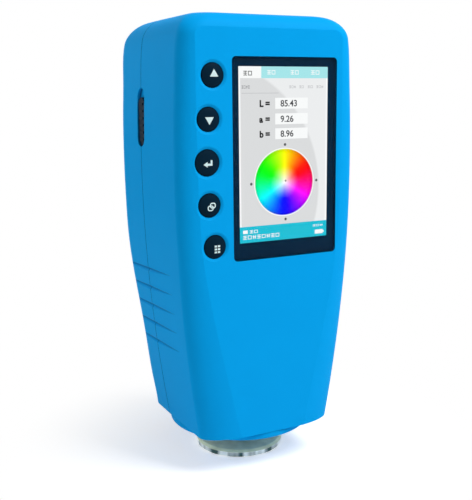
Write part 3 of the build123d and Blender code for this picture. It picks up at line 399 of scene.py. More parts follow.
def plated(name, colour, tarnish, roughness, stretch=(1.0, 1.0, 0.08)):
    """Metal whose colour and gloss follow a noise that is squeezed along the direction of rolling."""
    material, tree, shader, place = new_material(name, Metallic=1.0)
    rolled = add_node(tree, "ShaderNodeMapping", sockets={"Vector": place, "Scale": stretch})
    scratches = add_node(
        tree,
        "ShaderNodeTexNoise",
        sockets={"Vector": rolled.outputs["Vector"], "Scale": scale_of(scratch_size), "Detail": 4.0},
    )
    tint = add_node(
        tree,
        "ShaderNodeMix",
        {"data_type": "RGBA"},
        {"Factor": scratches.outputs["Fac"], 6: linear(colour), 7: linear(tarnish)},
    )
    rough = add_node(
        tree,
        "ShaderNodeMapRange",
        sockets={
            "Value": scratches.outputs["Fac"],
            "To Min": roughness - scratch_spread,
            "To Max": roughness + scratch_spread,
        },
    )
    tree.links.new(tint.outputs[2], shader.inputs["Base Color"])
    tree.links.new(rough.outputs["Result"], shader.inputs["Roughness"])
    return material


nickel_steel = plated("nickel_plated_steel", "#C9C7C0", "#AFADA6", 0.28)
zinc_steel = plated("zinc_plated_steel", "#A9ACB0", "#8E9296", 0.36, (1.0, 1.0, 1.0))
knurled_brass = plated("knurled_brass", "#D2B068", "#B58F47", 0.33, (1.0, 0.1, 1.0))
print("metals", [m.name for m in (ring_chrome, nickel_steel, zinc_steel, knurled_brass)])

# %% [markdown]
# ## Boards and ribbon
# A circuit board is glass fibre under green solder mask. Copper tracks lift the mask a little and
# show as paler green lines, here the edges of a cell pattern 2.5 mm across. The display's cable is
# amber polyimide film with parallel copper tracks, drawn 5 mm apart, about six times as coarse as
# real ones. A wave texture turns through 20 radians for each unit of its scale, which the scale
# has to undo.


# %% Board and cable
track_cell = 2.5                 # mm
track_low, track_high = 0.06, 0.1    # distance to a cell's edge, as a share of its size
track_lift = 0.03                # mm
stripe_pitch = 5.03              # mm
wave_turn = 20.0                 # radians


def solder_mask():
    """Green lacquer, paler and raised where the distance to a cell's edge is small."""
    material, tree, shader, place = new_material("green_solder_mask", Roughness=0.3)
    tracks = add_node(
        tree,
        "ShaderNodeTexVoronoi",
        {"feature": "DISTANCE_TO_EDGE"},
        {"Vector": place, "Scale": scale_of(track_cell)},
    )
    copper = add_node(
        tree,
        "ShaderNodeMapRange",
        sockets={"Value": tracks.outputs["Distance"], "From Min": track_low, "From Max": track_high},
    )
    tint = add_node(
        tree,
        "ShaderNodeMix",
        {"data_type": "RGBA"},
        {"Factor": copper.outputs["Result"], 6: linear("#2E8B4C"), 7: linear("#12592C")},
    )
    bump = add_node(
        tree,
        "ShaderNodeBump",
        {"invert": True},
        {"Height": copper.outputs["Result"], "Distance": track_lift * mm, "Strength": 0.5},
    )
    tree.links.new(tint.outputs[2], shader.inputs["Base Color"])
    tree.links.new(bump.outputs["Normal"], shader.inputs["Normal"])
    return material


def ribbon_film():
    """Amber film with darker stripes across X, one for each track."""
    material, tree, shader, place = new_material("amber_polyimide", Roughness=0.25)
    stripes = add_node(
        tree,
        "ShaderNodeTexWave",
        {"bands_direction": "X"},
        {"Vector": place, "Scale": scale_of(stripe_pitch) * 2 * np.pi / wave_turn},
    )
    tint = add_node(
        tree,
        "ShaderNodeMix",
        {"data_type": "RGBA"},
        {"Factor": stripes.outputs["Fac"], 6: linear("#B8701F"), 7: linear("#8E4E12")},
    )
    tree.links.new(tint.outputs[2], shader.inputs["Base Color"])
    return material


board_mask = solder_mask()
amber_film = ribbon_film()
print("boards", [name for name in nodes if name.endswith("_board")])

# %% [markdown]
# ## Glass
# The cover glass is float glass with a thin anti-reflection film, so it mirrors less than bare
# glass: the dark border stays dark while faint bands still slide over it. A shader has no such
# film, so the plate gets the lower index that mirrors as little, under one part in a hundred. It
# bends light less too, which behind a plate 1.2 mm thick moves the picture by under 0.2 mm. The
# lens in the light tube is bare glass.

# %% Two glasses
smear_size = 18.0                # mm


def clear_glass(name, index, smear_roughness):
    """Clear glass whose polish varies a little with a slow noise, like wiped finger marks."""
    material, tree, shader, place = new_material(
        name, Base_Color=linear("#FBFDFD"), IOR=index, Transmission_Weight=1.0
    )
    smears = add_node(
        tree, "ShaderNodeTexNoise", sockets={"Vector": place, "Scale": scale_of(smear_size), "Detail": 3.0}
    )
    rough = add_node(
        tree,
        "ShaderNodeMapRange",
        sockets={"Value": smears.outputs["Fac"], "To Min": 0.0, "To Max": smear_roughness},
    )
    tree.links.new(rough.outputs["Result"], shader.inputs["Roughness"])
    return material


glass_index = 1.52
coated_index = 1.14
cover_glass = clear_glass("coated_cover_glass", coated_index, 0.008)
lens_glass = clear_glass("polished_lens_glass", glass_index, 0.01)
print("glass index", glass_index, "as coated", coated_index)

# %% [markdown]
# ## Dress the frame
# Each CAD node names a material slot, and this table says which finish that slot wears. The nodes
# keep their own meshes; only what is in their slots changes.

# %% Finishes for the CAD nodes
panel_back = moulded("display_tray", "#101316", "#171B1F", 0.45, 0.4, 0.01)
finishes = {
    "case_blue": case_abs,
    "cover_glass": cover_glass,
    "lcd_panel": panel_back,
    "ribbon_amber": amber_film,
    "circuit_board": board_mask,
    "black_component": component_epoxy,
    "black_moulding": moulding_abs,
    "bright_steel": nickel_steel,
    "cell_wrap": wrap_film,
    "ring_chrome": ring_chrome,
    "neck_black": neck_abs,
    "sphere_white": sphere_paint,
    "lens_glass": lens_glass,
    "lamp_resin": lamp_resin,
    "insert_brass": knurled_brass,
    "key_black": key_abs,
    "screw_steel": zinc_steel,
}
slot_of = {row["node"]: row["material_slot"] for row in frame["record"]["subparts"]}
for name, node in nodes.items():
    for material_slot in node.material_slots:
        material_slot.material = finishes[slot_of[name]]
print("dressed", len(slot_of), "nodes in", len(set(slot_of.values())), "finishes")

# %% [markdown]
# ## Printed border under the glass
# The black edge seen round the display is ink on the back of the glass, with a window for the
# picture. It is one closed strip between two outlines: the glass's rounded edge and the window.
# Both outlines have the same number of points in each corner, so the strip is a grid of two rows.
# Ink wets the glass with no air between, so the strip lies just inside the glass's back face.

# %% Outline and border
glass_low, glass_high = (np.array(corner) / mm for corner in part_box("display_glass"))
panel_low, panel_high = (np.array(corner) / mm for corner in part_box("lcd_module"))
glass_back = glass_high[1]
panel_front = panel_low[1]
layer = (panel_front - glass_back) / 10      # the gap between panel and glass holds the thin layers
tray_left, tray_right = 1.9, 2.5             # the panel's own frame round its picture
tray_low, tray_high = 4.8, 1.25
picture_left = panel_low[0] + tray_left
picture_right = panel_high[0] - tray_right
picture_low = panel_low[2] + tray_low
picture_high = panel_high[2] - tray_high
edge_inset = 0.15                            # bare glass outside the ink
ink_corner = 1.7
window_corner = 0.15
weave_size = 0.6


def rounded_outline(left, low, right_side, high, radius, steps=9):
    """Four quarter circles of one radius, one round each corner, counter-clockwise in X and Z."""
    quarter = np.linspace(0.0, np.pi / 2, steps)
    turns = (quarter[None, :] + np.arange(4)[:, None] * np.pi / 2).ravel()
    centre_x = np.repeat([right_side - radius, left + radius, left + radius, right_side - radius], steps)
    centre_z = np.repeat([high - radius, high - radius, low + radius, low + radius], steps)
    return np.stack([centre_x + radius * np.cos(turns), centre_z + radius * np.sin(turns)], axis=-1)


def strip_between(outer, inner, depth):
    """A closed strip from the outer outline to the inner one, at one depth, facing -Y."""
    flat = np.concatenate([outer, inner])
    points = np.stack([flat[:, 0], np.full(len(flat), depth), flat[:, 1]], axis=-1)
    return points, grid_faces(2, len(outer), closed=True)


def screen_ink():
    """Matt navy ink whose depth of colour follows the weave of the printing screen, a fine noise."""
    material, tree, shader, place = new_material(
        "screen_printed_ink", Roughness=0.5, Specular_IOR_Level=0.0
    )
    weave = add_node(
        tree, "ShaderNodeTexNoise", sockets={"Vector": place, "Scale": scale_of(weave_size), "Detail": 2.0}
    )
    tint = add_node(
        tree,
        "ShaderNodeMix",
        {"data_type": "RGBA"},
        {"Factor": weave.outputs["Fac"], 6: linear("#031B31"), 7: linear("#06263F")},
    )
    tree.links.new(tint.outputs[2], shader.inputs["Base Color"])
    return material


border_points, border_faces = strip_between(
    rounded_outline(
        glass_low[0] + edge_inset,
        glass_low[2] + edge_inset,
        glass_high[0] - edge_inset,
        glass_high[2] - edge_inset,
        ink_corner,
    ),
    rounded_outline(picture_left, picture_low, picture_right, picture_high, window_corner),
    glass_back - layer,
)
put_mesh("glass_border", border_points, border_faces, screen_ink())
print("picture", round(picture_right - picture_left, 1), "by", round(picture_high - picture_low, 1), "mm")

# %% [markdown]
# ## What the display shows
# A liquid crystal picture gives its own light, so its layers are emissive and take nothing from
# the studio lamps. It is drawn as thin layers in the gap between panel and glass: ground, bars and
# boxes, colour wheel, then marks and digits. Places on the picture are measured in millimetres
# from its lower left corner, u to the right and v up.


# %% Lit finishes
def glowing(name, strength=1.0):
    """A material that only emits, so lamps add nothing to it: returns what new_material does."""
    return new_material(
        name, Base_Color=(0, 0, 0, 1), Roughness=1.0, Specular_IOR_Level=0.0, Emission_Strength=strength
    )


pixel_dip = 0.96                 # the dimmest pixels give this share of the light
pixel_size = 0.4                 # mm


def lit(name, colour):
    """A colour of the panel, dimmed a little from pixel to pixel by a fine noise."""
    material, tree, shader, place = glowing(name)
    pixels = add_node(
        tree, "ShaderNodeTexNoise", sockets={"Vector": place, "Scale": scale_of(pixel_size), "Detail": 0.0}
    )
    dimmer = add_node(
        tree,
        "ShaderNodeMix",
        {"data_type": "RGBA"},
        {
            "Factor": pixels.outputs["Fac"],
            6: linear(colour),
            7: tuple(pixel_dip * value for value in linear(colour)[:3]) + (1.0,),
        },
    )
    tree.links.new(dimmer.outputs[2], shader.inputs["Emission Color"])
    return material


def offset_from(tree, place, centre_x, centre_z):
    """Sockets of the offset from a centre in the picture's plane, and of its length."""
    moved = add_node(
        tree,
        "ShaderNodeMapping",
        sockets={
            "Vector": place,
            "Location": (-centre_x * mm, 0.0, -centre_z * mm),
            "Scale": (1.0, 0.0, 1.0),
        },
    )
    reach = add_node(
        tree, "ShaderNodeVectorMath", {"operation": "LENGTH"}, {0: moved.outputs["Vector"]}
    )
    return moved.outputs["Vector"], reach.outputs["Value"]


lit_white = lit("lit_white", "#FFFFFF")
lit_cyan = lit("lit_pale_cyan", "#A9EAEE")
lit_teal = lit("lit_teal", "#1CC2DA")
lit_dark = lit("lit_dark", "#1C1C1E")
lit_digit = lit("lit_digit", "#4A4A4E")
lit_mid = lit("lit_mid_grey", "#5C5C60")
lit_grey = lit("lit_grey", "#8C8C90")
lit_faint = lit("lit_faint_grey", "#BDBDC0")
print("panel colours", [m.name for m in (lit_white, lit_cyan, lit_teal, lit_dark)])

# %% [markdown]
# Every piece of the picture is a flat mesh in one of the layers. Rectangles and discs are worked
# out here, and letters are taken from Blender's built-in typeface, whose filled curves already
# come as triangles.


# %% Flat pieces in layers
ground_level, box_level, wheel_level, mark_level = 1, 2, 3, 4
digit_share = 0.7                # height of a digit as a share of the letter size


def depth_of(level):
    """Depth of a layer: level 1 lies on the panel, higher levels nearer to the glass."""
    return panel_front - level * layer


def on_picture(u, v, level):
    """Points (u, v) of the picture as X, Y, Z in millimetres."""
    u, v = np.broadcast_arrays(u, v)
    return np.stack([picture_left + u, np.full(u.shape, depth_of(level)), picture_low + v], axis=-1)


def put_panels(name, boxes, level, material):
    """Flat rectangles, one for each row (u low, v low, u high, v high), as one mesh."""
    low_u, low_v, high_u, high_v = np.asarray(boxes, dtype=float).T
    u = np.stack([low_u, high_u, high_u, low_u], axis=-1)
    v = np.stack([low_v, low_v, high_v, high_v], axis=-1)
    points = on_picture(u, v, level).reshape(-1, 3)
    faces = np.arange(len(points)).reshape(-1, 4)
    return put_mesh(name, points, faces, material)


def letter_shape(text, thicken):
    """Points and triangles of a word one unit high, read as whole arrays from its filled curve."""
    curve = bpy.data.curves.new("letters", "FONT")
    curve.body = text
    curve.offset = thicken
    holder = bpy.data.objects.new("letters", curve)
    bpy.context.collection.objects.link(holder)
    filled = bpy.data.meshes.new_from_object(holder.evaluated_get(bpy.context.evaluated_depsgraph_get()))
    flat = np.empty(len(filled.vertices) * 3)
    filled.vertices.foreach_get("co", flat)
    corners = np.empty(len(filled.loops), dtype=int)
    filled.loops.foreach_get("vertex_index", corners)
    bpy.data.objects.remove(holder)
    bpy.data.meshes.remove(filled)
    bpy.data.curves.remove(curve)
    return flat.reshape(-1, 3), corners.reshape(-1, 3)


def put_letters(name, words, level, material, thicken):
    """Words (text, u, v of the baseline, height of a digit) as one mesh."""
    points, faces, count = [], [], 0
    for text, u, v, size in words:
        shape, triangles = letter_shape(text, thicken)
        shape = shape * size / digit_share
        points.append(on_picture(u + shape[:, 0], v + shape[:, 1], level))
        faces.append(triangles + count)
        count += len(shape)
    return put_mesh(name, np.concatenate(points), np.concatenate(faces), material)


picture_width = picture_right - picture_left
picture_height = picture_high - picture_low
print("layers are", round(layer, 3), "mm apart")

# %% [markdown]
# The ground is pale grey. A paler area, upper right, ends on a large arc, so the material asks how
# far a point is from the arc's centre. The bar at the top carries tabs, the one at the bottom the
# status line.

# %% Ground, bars and boxes
arc_centre = (picture_left - 15.3, picture_low + 22.7)
arc_radius = 55.5
arc_edge = 0.6


def lit_ground():
    """Emission that turns paler outside a circle about arc_centre, over a soft edge."""
    material, tree, shader, place = glowing("lit_ground")
    reach = offset_from(tree, place, *arc_centre)[1]
    outside = add_node(
        tree,
        "ShaderNodeMapRange",
        sockets={
            "Value": reach,
            "From Min": (arc_radius - arc_edge) * mm,
            "From Max": (arc_radius + arc_edge) * mm,
        },
    )
    tint = add_node(
        tree,
        "ShaderNodeMix",
        {"data_type": "RGBA"},
        {"Factor": outside.outputs["Result"], 6: linear("#DEDEDF"), 7: linear("#F0F0F1")},
    )
    tree.links.new(tint.outputs[2], shader.inputs["Emission Color"])
    return material


tab_low = 71.0
tab_split = 11.0
status_high = 7.15
box_left, box_right = 17.8, 34.3
box_height = 4.7
row_heights = [60.3, 53.6, 47.2]         # middle of each row
edge_strip = 0.9

put_panels("display_ground", [(0, 0, picture_width, picture_height)], ground_level, lit_ground())
white_boxes = [(box_left, v - box_height / 2, box_right, v + box_height / 2) for v in row_heights]
white_boxes += [
    (0, tab_low, tab_split, picture_height),
    (0, status_high, edge_strip, tab_low),
    (picture_width - edge_strip, status_high, picture_width, tab_low),
]
put_panels("display_white_boxes", white_boxes, box_level, lit_white)
put_panels("display_tab_bar", [(tab_split, tab_low, picture_width, picture_height)], box_level, lit_cyan)
put_panels("display_status_bar", [(0, 0, picture_width, status_high)], box_level, lit_teal)
print("rows at", row_heights)

# %% [markdown]
# The colour wheel shows every hue once round, yellow at the top and red to its right, washed out
# to white in the middle. Hue is the angle about the centre and saturation the distance from it,
# so the material computes both from Object coordinates, and one disc is enough.

# %% Colour wheel
wheel_u, wheel_v = 22.4, 25.8
wheel_radius = 14.7
wheel_rim = 0.5
wheel_glow = 1.08                        # strength of its light, the rest of the picture having 1
yellow_turn = 90.0 - 60.0                # degrees: hue 60 is yellow and stands at the top
full_colour = 0.52                       # share of the radius where the colour is pure
dim_from, dim_rim = 0.85, 0.86           # share of the radius where it dims, and how far it dims
screen_power = 2.2                       # a screen's light is its pixel value to this power


def lit_wheel():
    """Hue is the angle over 360, turned so that yellow is up.

    Saturation grows with the radius, and value dips at the rim.
    """
    material, tree, shader, place = glowing("lit_colour_wheel", wheel_glow)
    offset, reach = offset_from(tree, place, picture_left + wheel_u, picture_low + wheel_v)
    axes = add_node(tree, "ShaderNodeSeparateXYZ", sockets={"Vector": offset})
    angle = add_node(
        tree, "ShaderNodeMath", {"operation": "ARCTAN2"}, {0: axes.outputs["Z"], 1: axes.outputs["X"]}
    )
    hue = add_node(
        tree,
        "ShaderNodeMath",
        {"operation": "MULTIPLY_ADD"},
        {0: angle.outputs[0], 1: 1 / (2 * np.pi), 2: 1.0 - yellow_turn / 360.0},
    )
    whole = add_node(tree, "ShaderNodeMath", {"operation": "FRACT"}, {0: hue.outputs[0]})
    saturation = add_node(
        tree,
        "ShaderNodeMapRange",
        sockets={"Value": reach, "From Max": full_colour * wheel_radius * mm},
    )
    value = add_node(
        tree,
        "ShaderNodeMapRange",
        sockets={
            "Value": reach,
            "From Min": dim_from * wheel_radius * mm,
            "From Max": wheel_radius * mm,
            "To Min": 1.0,
            "To Max": dim_rim,
        },
    )
    colour = add_node(
        tree,
        "ShaderNodeCombineColor",
        {"mode": "HSV"},
        {0: whole.outputs[0], 1: saturation.outputs["Result"], 2: value.outputs["Result"]},
    )
    light = add_node(
        tree, "ShaderNodeGamma", sockets={"Color": colour.outputs[0], "Gamma": screen_power}
    )
    tree.links.new(light.outputs[0], shader.inputs["Emission Color"])
    return material


def put_disc(name, u, v, inner, outer, level, material, rings=5, spokes=72):
    """Polar grid: u + r cos a, v + r sin a, for r from inner to outer and a once round.

    A disc with no hole has one point in its middle, and a fan of triangles round it.
    """
    radius = np.linspace(inner, outer, rings)[:, None]
    turn = np.linspace(0.0, 2 * np.pi, spokes, endpoint=False)[None, :]
    points = on_picture(u + radius * np.cos(turn), v + radius * np.sin(turn), level).reshape(-1, 3)
    faces = grid_faces(rings, spokes, closed=True)[:, ::-1]
    if inner == 0.0:
        points = points[spokes - 1 :]
        spoke = np.arange(spokes)
        fan = np.stack([np.zeros_like(spoke), spoke + 1, (spoke + 1) % spokes + 1], axis=-1)
        quads = faces[spokes:] - (spokes - 1)
        faces = fan.tolist() + quads.tolist()
    return put_mesh(name, points, faces, material)


rim_outside = wheel_radius + wheel_rim
put_disc("display_wheel_rim", wheel_u, wheel_v, wheel_radius, rim_outside, wheel_level, lit_white)
put_disc("display_wheel", wheel_u, wheel_v, 0.0, wheel_radius, wheel_level, lit_wheel(), rings=9)
print("wheel", 2 * wheel_radius, "mm across")

# %% [markdown]
# Readings are the three numbers of a colour, L, a and b. The small labels of the menus are too
# small to read at this distance, so each character is four generic strokes that spell nothing.


# %% Digits and marks
digit_height = 2.7
name_u, equals_u, reading_u = 10.0, 12.9, 20.4
name_weight, reading_weight = 0.045, 0.02    # how much the letters are thickened
readings = [("L", "85.43"), ("a", "9.26"), ("b", "8.96")]

name_words, reading_words = [], []
for row_height, (label, reading) in zip(row_heights, readings):
    base = row_height - digit_height / 2
    name_words += [(label, name_u, base, digit_height), ("=", equals_u, base, digit_height)]
    reading_words.append((reading, reading_u, base, digit_height))
put_letters("display_row_names", name_words, mark_level, lit_dark, name_weight)
put_letters("display_readings", reading_words, mark_level, lit_digit, reading_weight)

# Three generic characters, each of four strokes: left, low, right and high in a unit square
stroke_sets = np.array(
    [
        [(0.0, 0.84, 1.0, 1.0), (0.0, 0.42, 1.0, 0.58), (0.0, 0.0, 1.0, 0.16), (0.42, 0.0, 0.58, 1.0)],
        [(0.0, 0.84, 1.0, 1.0), (0.0, 0.0, 1.0, 0.16), (0.0, 0.0, 0.16, 1.0), (0.84, 0.0, 1.0, 1.0)],
        [(0.0, 0.56, 1.0, 0.72), (0.14, 0.0, 0.3, 1.0), (0.7, 0.0, 0.86, 1.0), (0.3, 0.2, 0.7, 0.34)],
    ]
)
character_share = 0.8            # width of a character as a share of its pitch


def small_type(u_low, u_high, v_middle, height, count):
    """Boxes for count characters: each set of four strokes in a unit square is scaled to its place."""
    pitch = (u_high - u_low) / count
    width = character_share * pitch
    order = np.arange(count)
    strokes = stroke_sets[order % len(stroke_sets)]
    size = np.array([width, height, width, height])
    start = np.stack([u_low + pitch * order, np.full(count, v_middle - height / 2)] * 2, axis=-1)
    return (strokes * size + start[:, None, :]).reshape(-1, 4).tolist()


def type_rows(rows):
    """Boxes of several words, each given as small_type takes it."""
    return [box for row in rows for box in small_type(*row)]


tab_middle = (tab_low + picture_height) / 2
menu_line = 67.3                 # middle of the row of small type under the tabs
white_words = [                  # u low, u high, v middle, height, characters
    (13.9, 18.3, tab_middle, 1.8, 2),
    (25.5, 30.0, tab_middle, 1.8, 2),
    (35.9, 40.7, tab_middle, 1.8, 2),
    (4.9, 9.3, 4.8, 1.4, 2),
    (1.6, 20.2, 2.4, 1.7, 8),
    (37.3, 43.0, 5.1, 0.9, 3),
]
faint_words = [
    (24.8, 28.4, menu_line, 1.1, 3),
    (29.9, 32.4, menu_line, 1.1, 2),
    (34.2, 37.1, menu_line, 1.1, 2),
    (38.7, 42.6, menu_line, 1.1, 3),
]
rule = (1.5, 64.6, 19.5, 64.8)   # thin line under the row
battery_sign = [(38.4, 1.2, 42.6, 3.1), (42.6, 1.7, 43.2, 2.6)]
status_sign = (1.6, 4.1, 3.9, 5.6)
put_panels("display_tab_label", small_type(2.4, 6.9, tab_middle - 0.4, 1.9, 2), mark_level, lit_dark)
put_panels("display_tab_marks", type_rows(white_words), mark_level, lit_white)
put_panels("display_small_type", small_type(1.5, 5.6, menu_line, 1.3, 4), mark_level, lit_grey)
put_panels("display_faint_type", type_rows(faint_words) + [rule], mark_level, lit_faint)
put_panels("display_battery", battery_sign + [status_sign], mark_level, lit_white)

tick_reach = 16.6
tick_radius, centre_radius = 0.62, 0.4
ticks = {                        # u and v from the wheel's middle, and radius
    "top": (0.3, tick_reach, tick_radius),
    "low": (0.6, -tick_reach, tick_radius),
    "left": (-tick_reach, 0.0, tick_radius),
    "right": (tick_reach, 0.0, tick_radius),
    "centre": (0.6, 0.6, centre_radius),
}
for spot, (step_u, step_v, radius) in ticks.items():
    tick_u, tick_v = wheel_u + step_u, wheel_v + step_v
    put_disc("display_tick_" + spot, tick_u, tick_v, 0.0, radius, mark_level, lit_mid, 3, 16)

# %% [markdown]
# ## Key legends
# The signs on the keys are pad-printed: a soft silicone pad presses wet ink onto the dome, so the
# ink follows its curve. Each sign is made of flat ribbons, paths with a width at every point: a
# triangle is a ribbon that narrows to nothing. The ribbons are then laid on the dome, whose
# section is an arc through three known points.


# %% Ribbons on a dome
def circle_through(middle, rim):
    """Centre and radius of the circle through (0, 0), middle and rim.

    Equal distances from the centre to the three points give two linear equations.
    """
    rows = 2 * np.array([middle, rim])
    centre = np.linalg.solve(rows, (np.array([middle, rim]) ** 2).sum(axis=1))
    return centre, np.linalg.norm(centre)


def ribbon(path, widths, closed=False, steps=6, across=4):
    """Points to both sides of a path, half a width away along its normal, joined into a grid."""
    path, widths = np.asarray(path, dtype=float), np.asarray(widths, dtype=float)
    if closed:
        path = np.vstack([path, path[:1]])
        widths = np.append(widths, widths[0])
    knots = np.arange(len(path))
    fine = np.linspace(0, len(path) - 1, steps * (len(path) - 1) + 1)
    line = np.stack([np.interp(fine, knots, path[:, axis]) for axis in (0, 1)], axis=-1)
    if closed:
        line = line[:-1]
        ahead, behind = np.roll(line, -1, axis=0), np.roll(line, 1, axis=0)
        width = np.interp(fine, knots, widths)[:-1]
    else:
        ahead, behind = np.vstack([line[1:], line[-1:]]), np.vstack([line[:1], line[:-1]])
        width = np.interp(fine, knots, widths)
    along = ahead - behind
    along /= np.linalg.norm(along, axis=1, keepdims=True)
    normal = np.stack([-along[:, 1], along[:, 0]], axis=-1)
    side = np.linspace(-0.5, 0.5, across + 1)[:, None, None]
    points = line[None] + side * width[None, :, None] * normal[None]
    return points.reshape(-1, 2), grid_faces(across + 1, len(line), closed)


ink_lift = 0.004
ink_thickness = 0.02
key_flange = 0.9                         # a key's flange, hidden by the wall, beyond its cap
dome_rise = 0.7                          # height of the dome over its rim
dome_way, dome_drop = 0.55, 0.22         # at this share of the cap's radius it has sunk this share


def dome_arc(cap):
    """Centre and radius of the arc that is the section of a dome on a cap of this radius."""
    return circle_through((dome_way * cap, dome_drop * dome_rise), (cap, dome_rise))


def put_legend(key, ribbons, material):
    """Lays ribbons on the key's dome: depth at distance d from the axis is that of the dome's arc."""
    low, high = (np.array(corner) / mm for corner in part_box(key))
    centre, arc = dome_arc((high[0] - low[0]) / 2 - key_flange)
    points, faces, count = [], [], 0
    for flat, quads in ribbons:
        points.append(flat)
        faces.append(quads + count)
        count += len(flat)
    flat = np.concatenate(points)
    distance = np.linalg.norm(flat, axis=1)
    highest = centre[1] - arc
    depth = centre[1] - np.sqrt(arc**2 - (distance - centre[0]) ** 2) - highest
    middle_x, middle_z = (low[0] + high[0]) / 2, (low[2] + high[2]) / 2
    solid = np.stack([middle_x + flat[:, 0], low[1] + depth - ink_lift, middle_z + flat[:, 1]], axis=-1)
    piece = put_mesh(key + "_legend", solid, np.concatenate(faces), material, body=key)
    make_thick(piece, ink_thickness)
    return piece


legend_ink = moulded("pad_printed_ink", "#D4F0F2", "#E2F7F8", 0.5, 0.3, 0.01, 3.0)
print("dome arc of a 4.9 mm cap", dome_arc(4.9)[1].round(2), "mm")

# %% [markdown]
# The five signs, in millimetres from the middle of each key: an arrow head up, one down, a return
# arrow, two overlapping frames and a grid of six squares. They sit a little to the right of the
# middle, as printed.


# %% The five signs
frame_points = 28
frame_line = 0.5


def frame_path(centre, half, rounding=2.8):
    """A rounded frame: |x / half| ** rounding + |z / half| ** rounding = 1, all the way round."""
    turn = np.linspace(0, 2 * np.pi, frame_points, endpoint=False)
    x = np.sign(np.cos(turn)) * np.abs(np.cos(turn)) ** (2 / rounding)
    z = np.sign(np.sin(turn)) * np.abs(np.sin(turn)) ** (2 / rounding)
    return np.stack([centre[0] + half[0] * x, centre[1] + half[1] * z], axis=-1)


signs = {
    "up_key": [ribbon([(0.45, -0.65), (0.45, 2.5)], [3.9, 0.0])],
    "down_key": [ribbon([(0.25, 0.9), (0.25, -2.3)], [4.0, 0.0])],
    "enter_key": [
        ribbon([(-0.2, -0.7), (-2.1, -0.7)], [2.4, 0.0]),
        ribbon([(-0.2, -0.7), (1.2, -0.7)], [0.95, 0.95]),
        ribbon([(1.62, -1.17), (1.62, 1.15)], [0.85, 0.85]),
    ],
    "back_key": [
        ribbon(frame_path(centre, (1.15, 1.0)), [frame_line] * frame_points, closed=True, steps=1)
        for centre in ((1.2, 0.0), (0.15, -1.1))
    ],
    "menu_key": [
        ribbon([(0.05 + 1.5 * column, z - 0.42), (0.05 + 1.5 * column, z + 0.42)], [1.15, 1.15])
        for column in (0, 1)
        for z in (0.35, -0.95, -2.25)
    ],
}
for key, ribbons in signs.items():
    put_legend(key, ribbons, legend_ink)
print("legends on", list(signs))

# %% [markdown]
# ## Floor and backdrop
# A product shot stands on a white sweep with no horizon. Close to the object the floor is a pale
# surface that keeps a soft shadow, and further out it fades into the same white as the world. Only
# camera, mirror and glass rays see that white: for the light that falls on the object, the floor
# stays an ordinary pale surface.


# %% Floor
floor_lift = 0.48                # light added near the object, so that the shadow stays pale
fade_from, fade_to = 0.035, 0.12     # metres from the object's axis
floor_radius = 6.0
floor_spokes = 96


def seen_directly(tree):
    """1 for rays that come from the camera, a mirror or through glass, else 0."""
    path = add_node(tree, "ShaderNodeLightPath")
    either = add_node(
        tree,
        "ShaderNodeMath",
        {"operation": "MAXIMUM"},
        {0: path.outputs["Is Camera Ray"], 1: path.outputs["Is Glossy Ray"]},
    )
    return add_node(
        tree,
        "ShaderNodeMath",
        {"operation": "MAXIMUM"},
        {0: either.outputs[0], 1: path.outputs["Is Transmission Ray"]},
    ).outputs[0]


def floor_finish():
    """Matt pale paint near the middle, mixed by distance into plain white light for directly seen rays."""
    material = bpy.data.materials.new("pale_sweep")
    material.use_nodes = True
    tree = material.node_tree
    tree.nodes.clear()
    place = add_node(tree, "ShaderNodeTexCoord").outputs["Object"]
    paint = add_node(tree, "ShaderNodeBsdfDiffuse", sockets={"Color": linear("#EFEFEF")})
    lift = add_node(tree, "ShaderNodeEmission", sockets={"Strength": floor_lift})
    lifted = add_node(tree, "ShaderNodeAddShader", sockets={0: paint.outputs[0], 1: lift.outputs[0]})
    white = add_node(tree, "ShaderNodeEmission", sockets={"Strength": 1.0})
    reach = add_node(tree, "ShaderNodeVectorMath", {"operation": "LENGTH"}, {0: place})
    fade = add_node(
        tree,
        "ShaderNodeMapRange",
        {"interpolation_type": "SMOOTHSTEP"},
        {"Value": reach.outputs["Value"], "From Min": fade_from, "From Max": fade_to},
    )
    shown = add_node(
        tree,
        "ShaderNodeMixShader",
        sockets={0: fade.outputs["Result"], 1: lifted.outputs[0], 2: white.outputs[0]},
    )
    both = add_node(
        tree,
        "ShaderNodeMixShader",
        sockets={0: seen_directly(tree), 1: paint.outputs[0], 2: shown.outputs[0]},
    )
    add_node(tree, "ShaderNodeOutputMaterial", sockets={"Surface": both.outputs[0]})
    return material


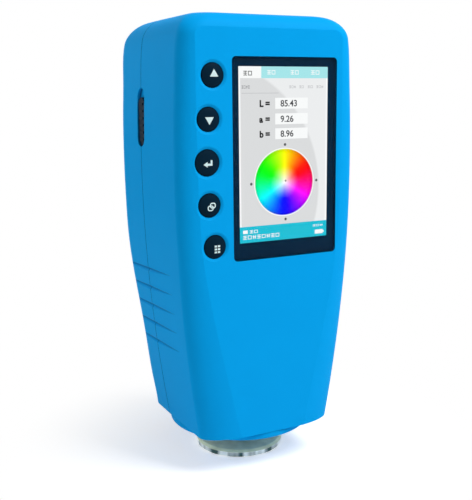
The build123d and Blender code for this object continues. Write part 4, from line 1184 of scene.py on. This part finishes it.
floor_turns = np.linspace(0, 2 * np.pi, floor_spokes, endpoint=False)
floor_rings = np.array([0.02, 0.4, floor_radius])
floor_grid = np.stack(
    [
        (floor_rings[:, None] * np.cos(floor_turns)).ravel(),
        (floor_rings[:, None] * np.sin(floor_turns)).ravel(),
        np.zeros(len(floor_rings) * floor_spokes),
    ],
    axis=-1,
)
middle_face = list(range(floor_spokes))
floor_faces = grid_faces(len(floor_rings), floor_spokes, closed=True).tolist() + [middle_face]
floor_mesh = bpy.data.meshes.new("floor")
floor_mesh.from_pydata(floor_grid.tolist(), [], floor_faces)
floor_mesh.materials.append(floor_finish())
floor = bpy.data.objects.new("floor", floor_mesh)
bpy.context.collection.objects.link(floor)
print("floor", 2 * floor_radius, "m across")

# %% [markdown]
# ## Light
# The photograph is lit from above and a little to the right by a large soft source, with the rest
# of a white room filling the shadows. One area lamp is the window, a weaker one lifts the left
# side, and the world gives the even part.


# %% World and lamps
even_strength = 0.25             # light of the room on the object
wall_strength = 1.0              # the same room, as the camera and mirrors see it
lamp_aim = (0.0, 0.0, 0.11)


def add_lamp(name, position, size, power):
    """A square area lamp, in metres and watts, turned so that its -Z axis points at lamp_aim."""
    data = bpy.data.lights.new(name, "AREA")
    data.shape = "SQUARE"
    data.size = size
    data.energy = power
    lamp = bpy.data.objects.new(name, data)
    lamp.location = position
    lamp.rotation_euler = (Vector(lamp_aim) - Vector(position)).to_track_quat("-Z", "Y").to_euler()
    bpy.context.collection.objects.link(lamp)
    return lamp


world = bpy.data.worlds.new("white_room")
world.use_nodes = True
sky = world.node_tree
sky.nodes.clear()
room_white = linear("#FFFFFF")
even_light = add_node(
    sky, "ShaderNodeBackground", sockets={"Color": room_white, "Strength": even_strength}
)
white_wall = add_node(
    sky, "ShaderNodeBackground", sockets={"Color": room_white, "Strength": wall_strength}
)
room = add_node(
    sky,
    "ShaderNodeMixShader",
    sockets={0: seen_directly(sky), 1: even_light.outputs[0], 2: white_wall.outputs[0]},
)
add_node(sky, "ShaderNodeOutputWorld", sockets={"Surface": room.outputs[0]})
bpy.context.scene.world = world

add_lamp("window", (0.40, -0.50, 0.90), 0.55, 8.9)
add_lamp("fill", (-0.65, 0.60, 0.45), 0.5, 2.4)
bpy.context.scene.view_settings.view_transform = "Standard"
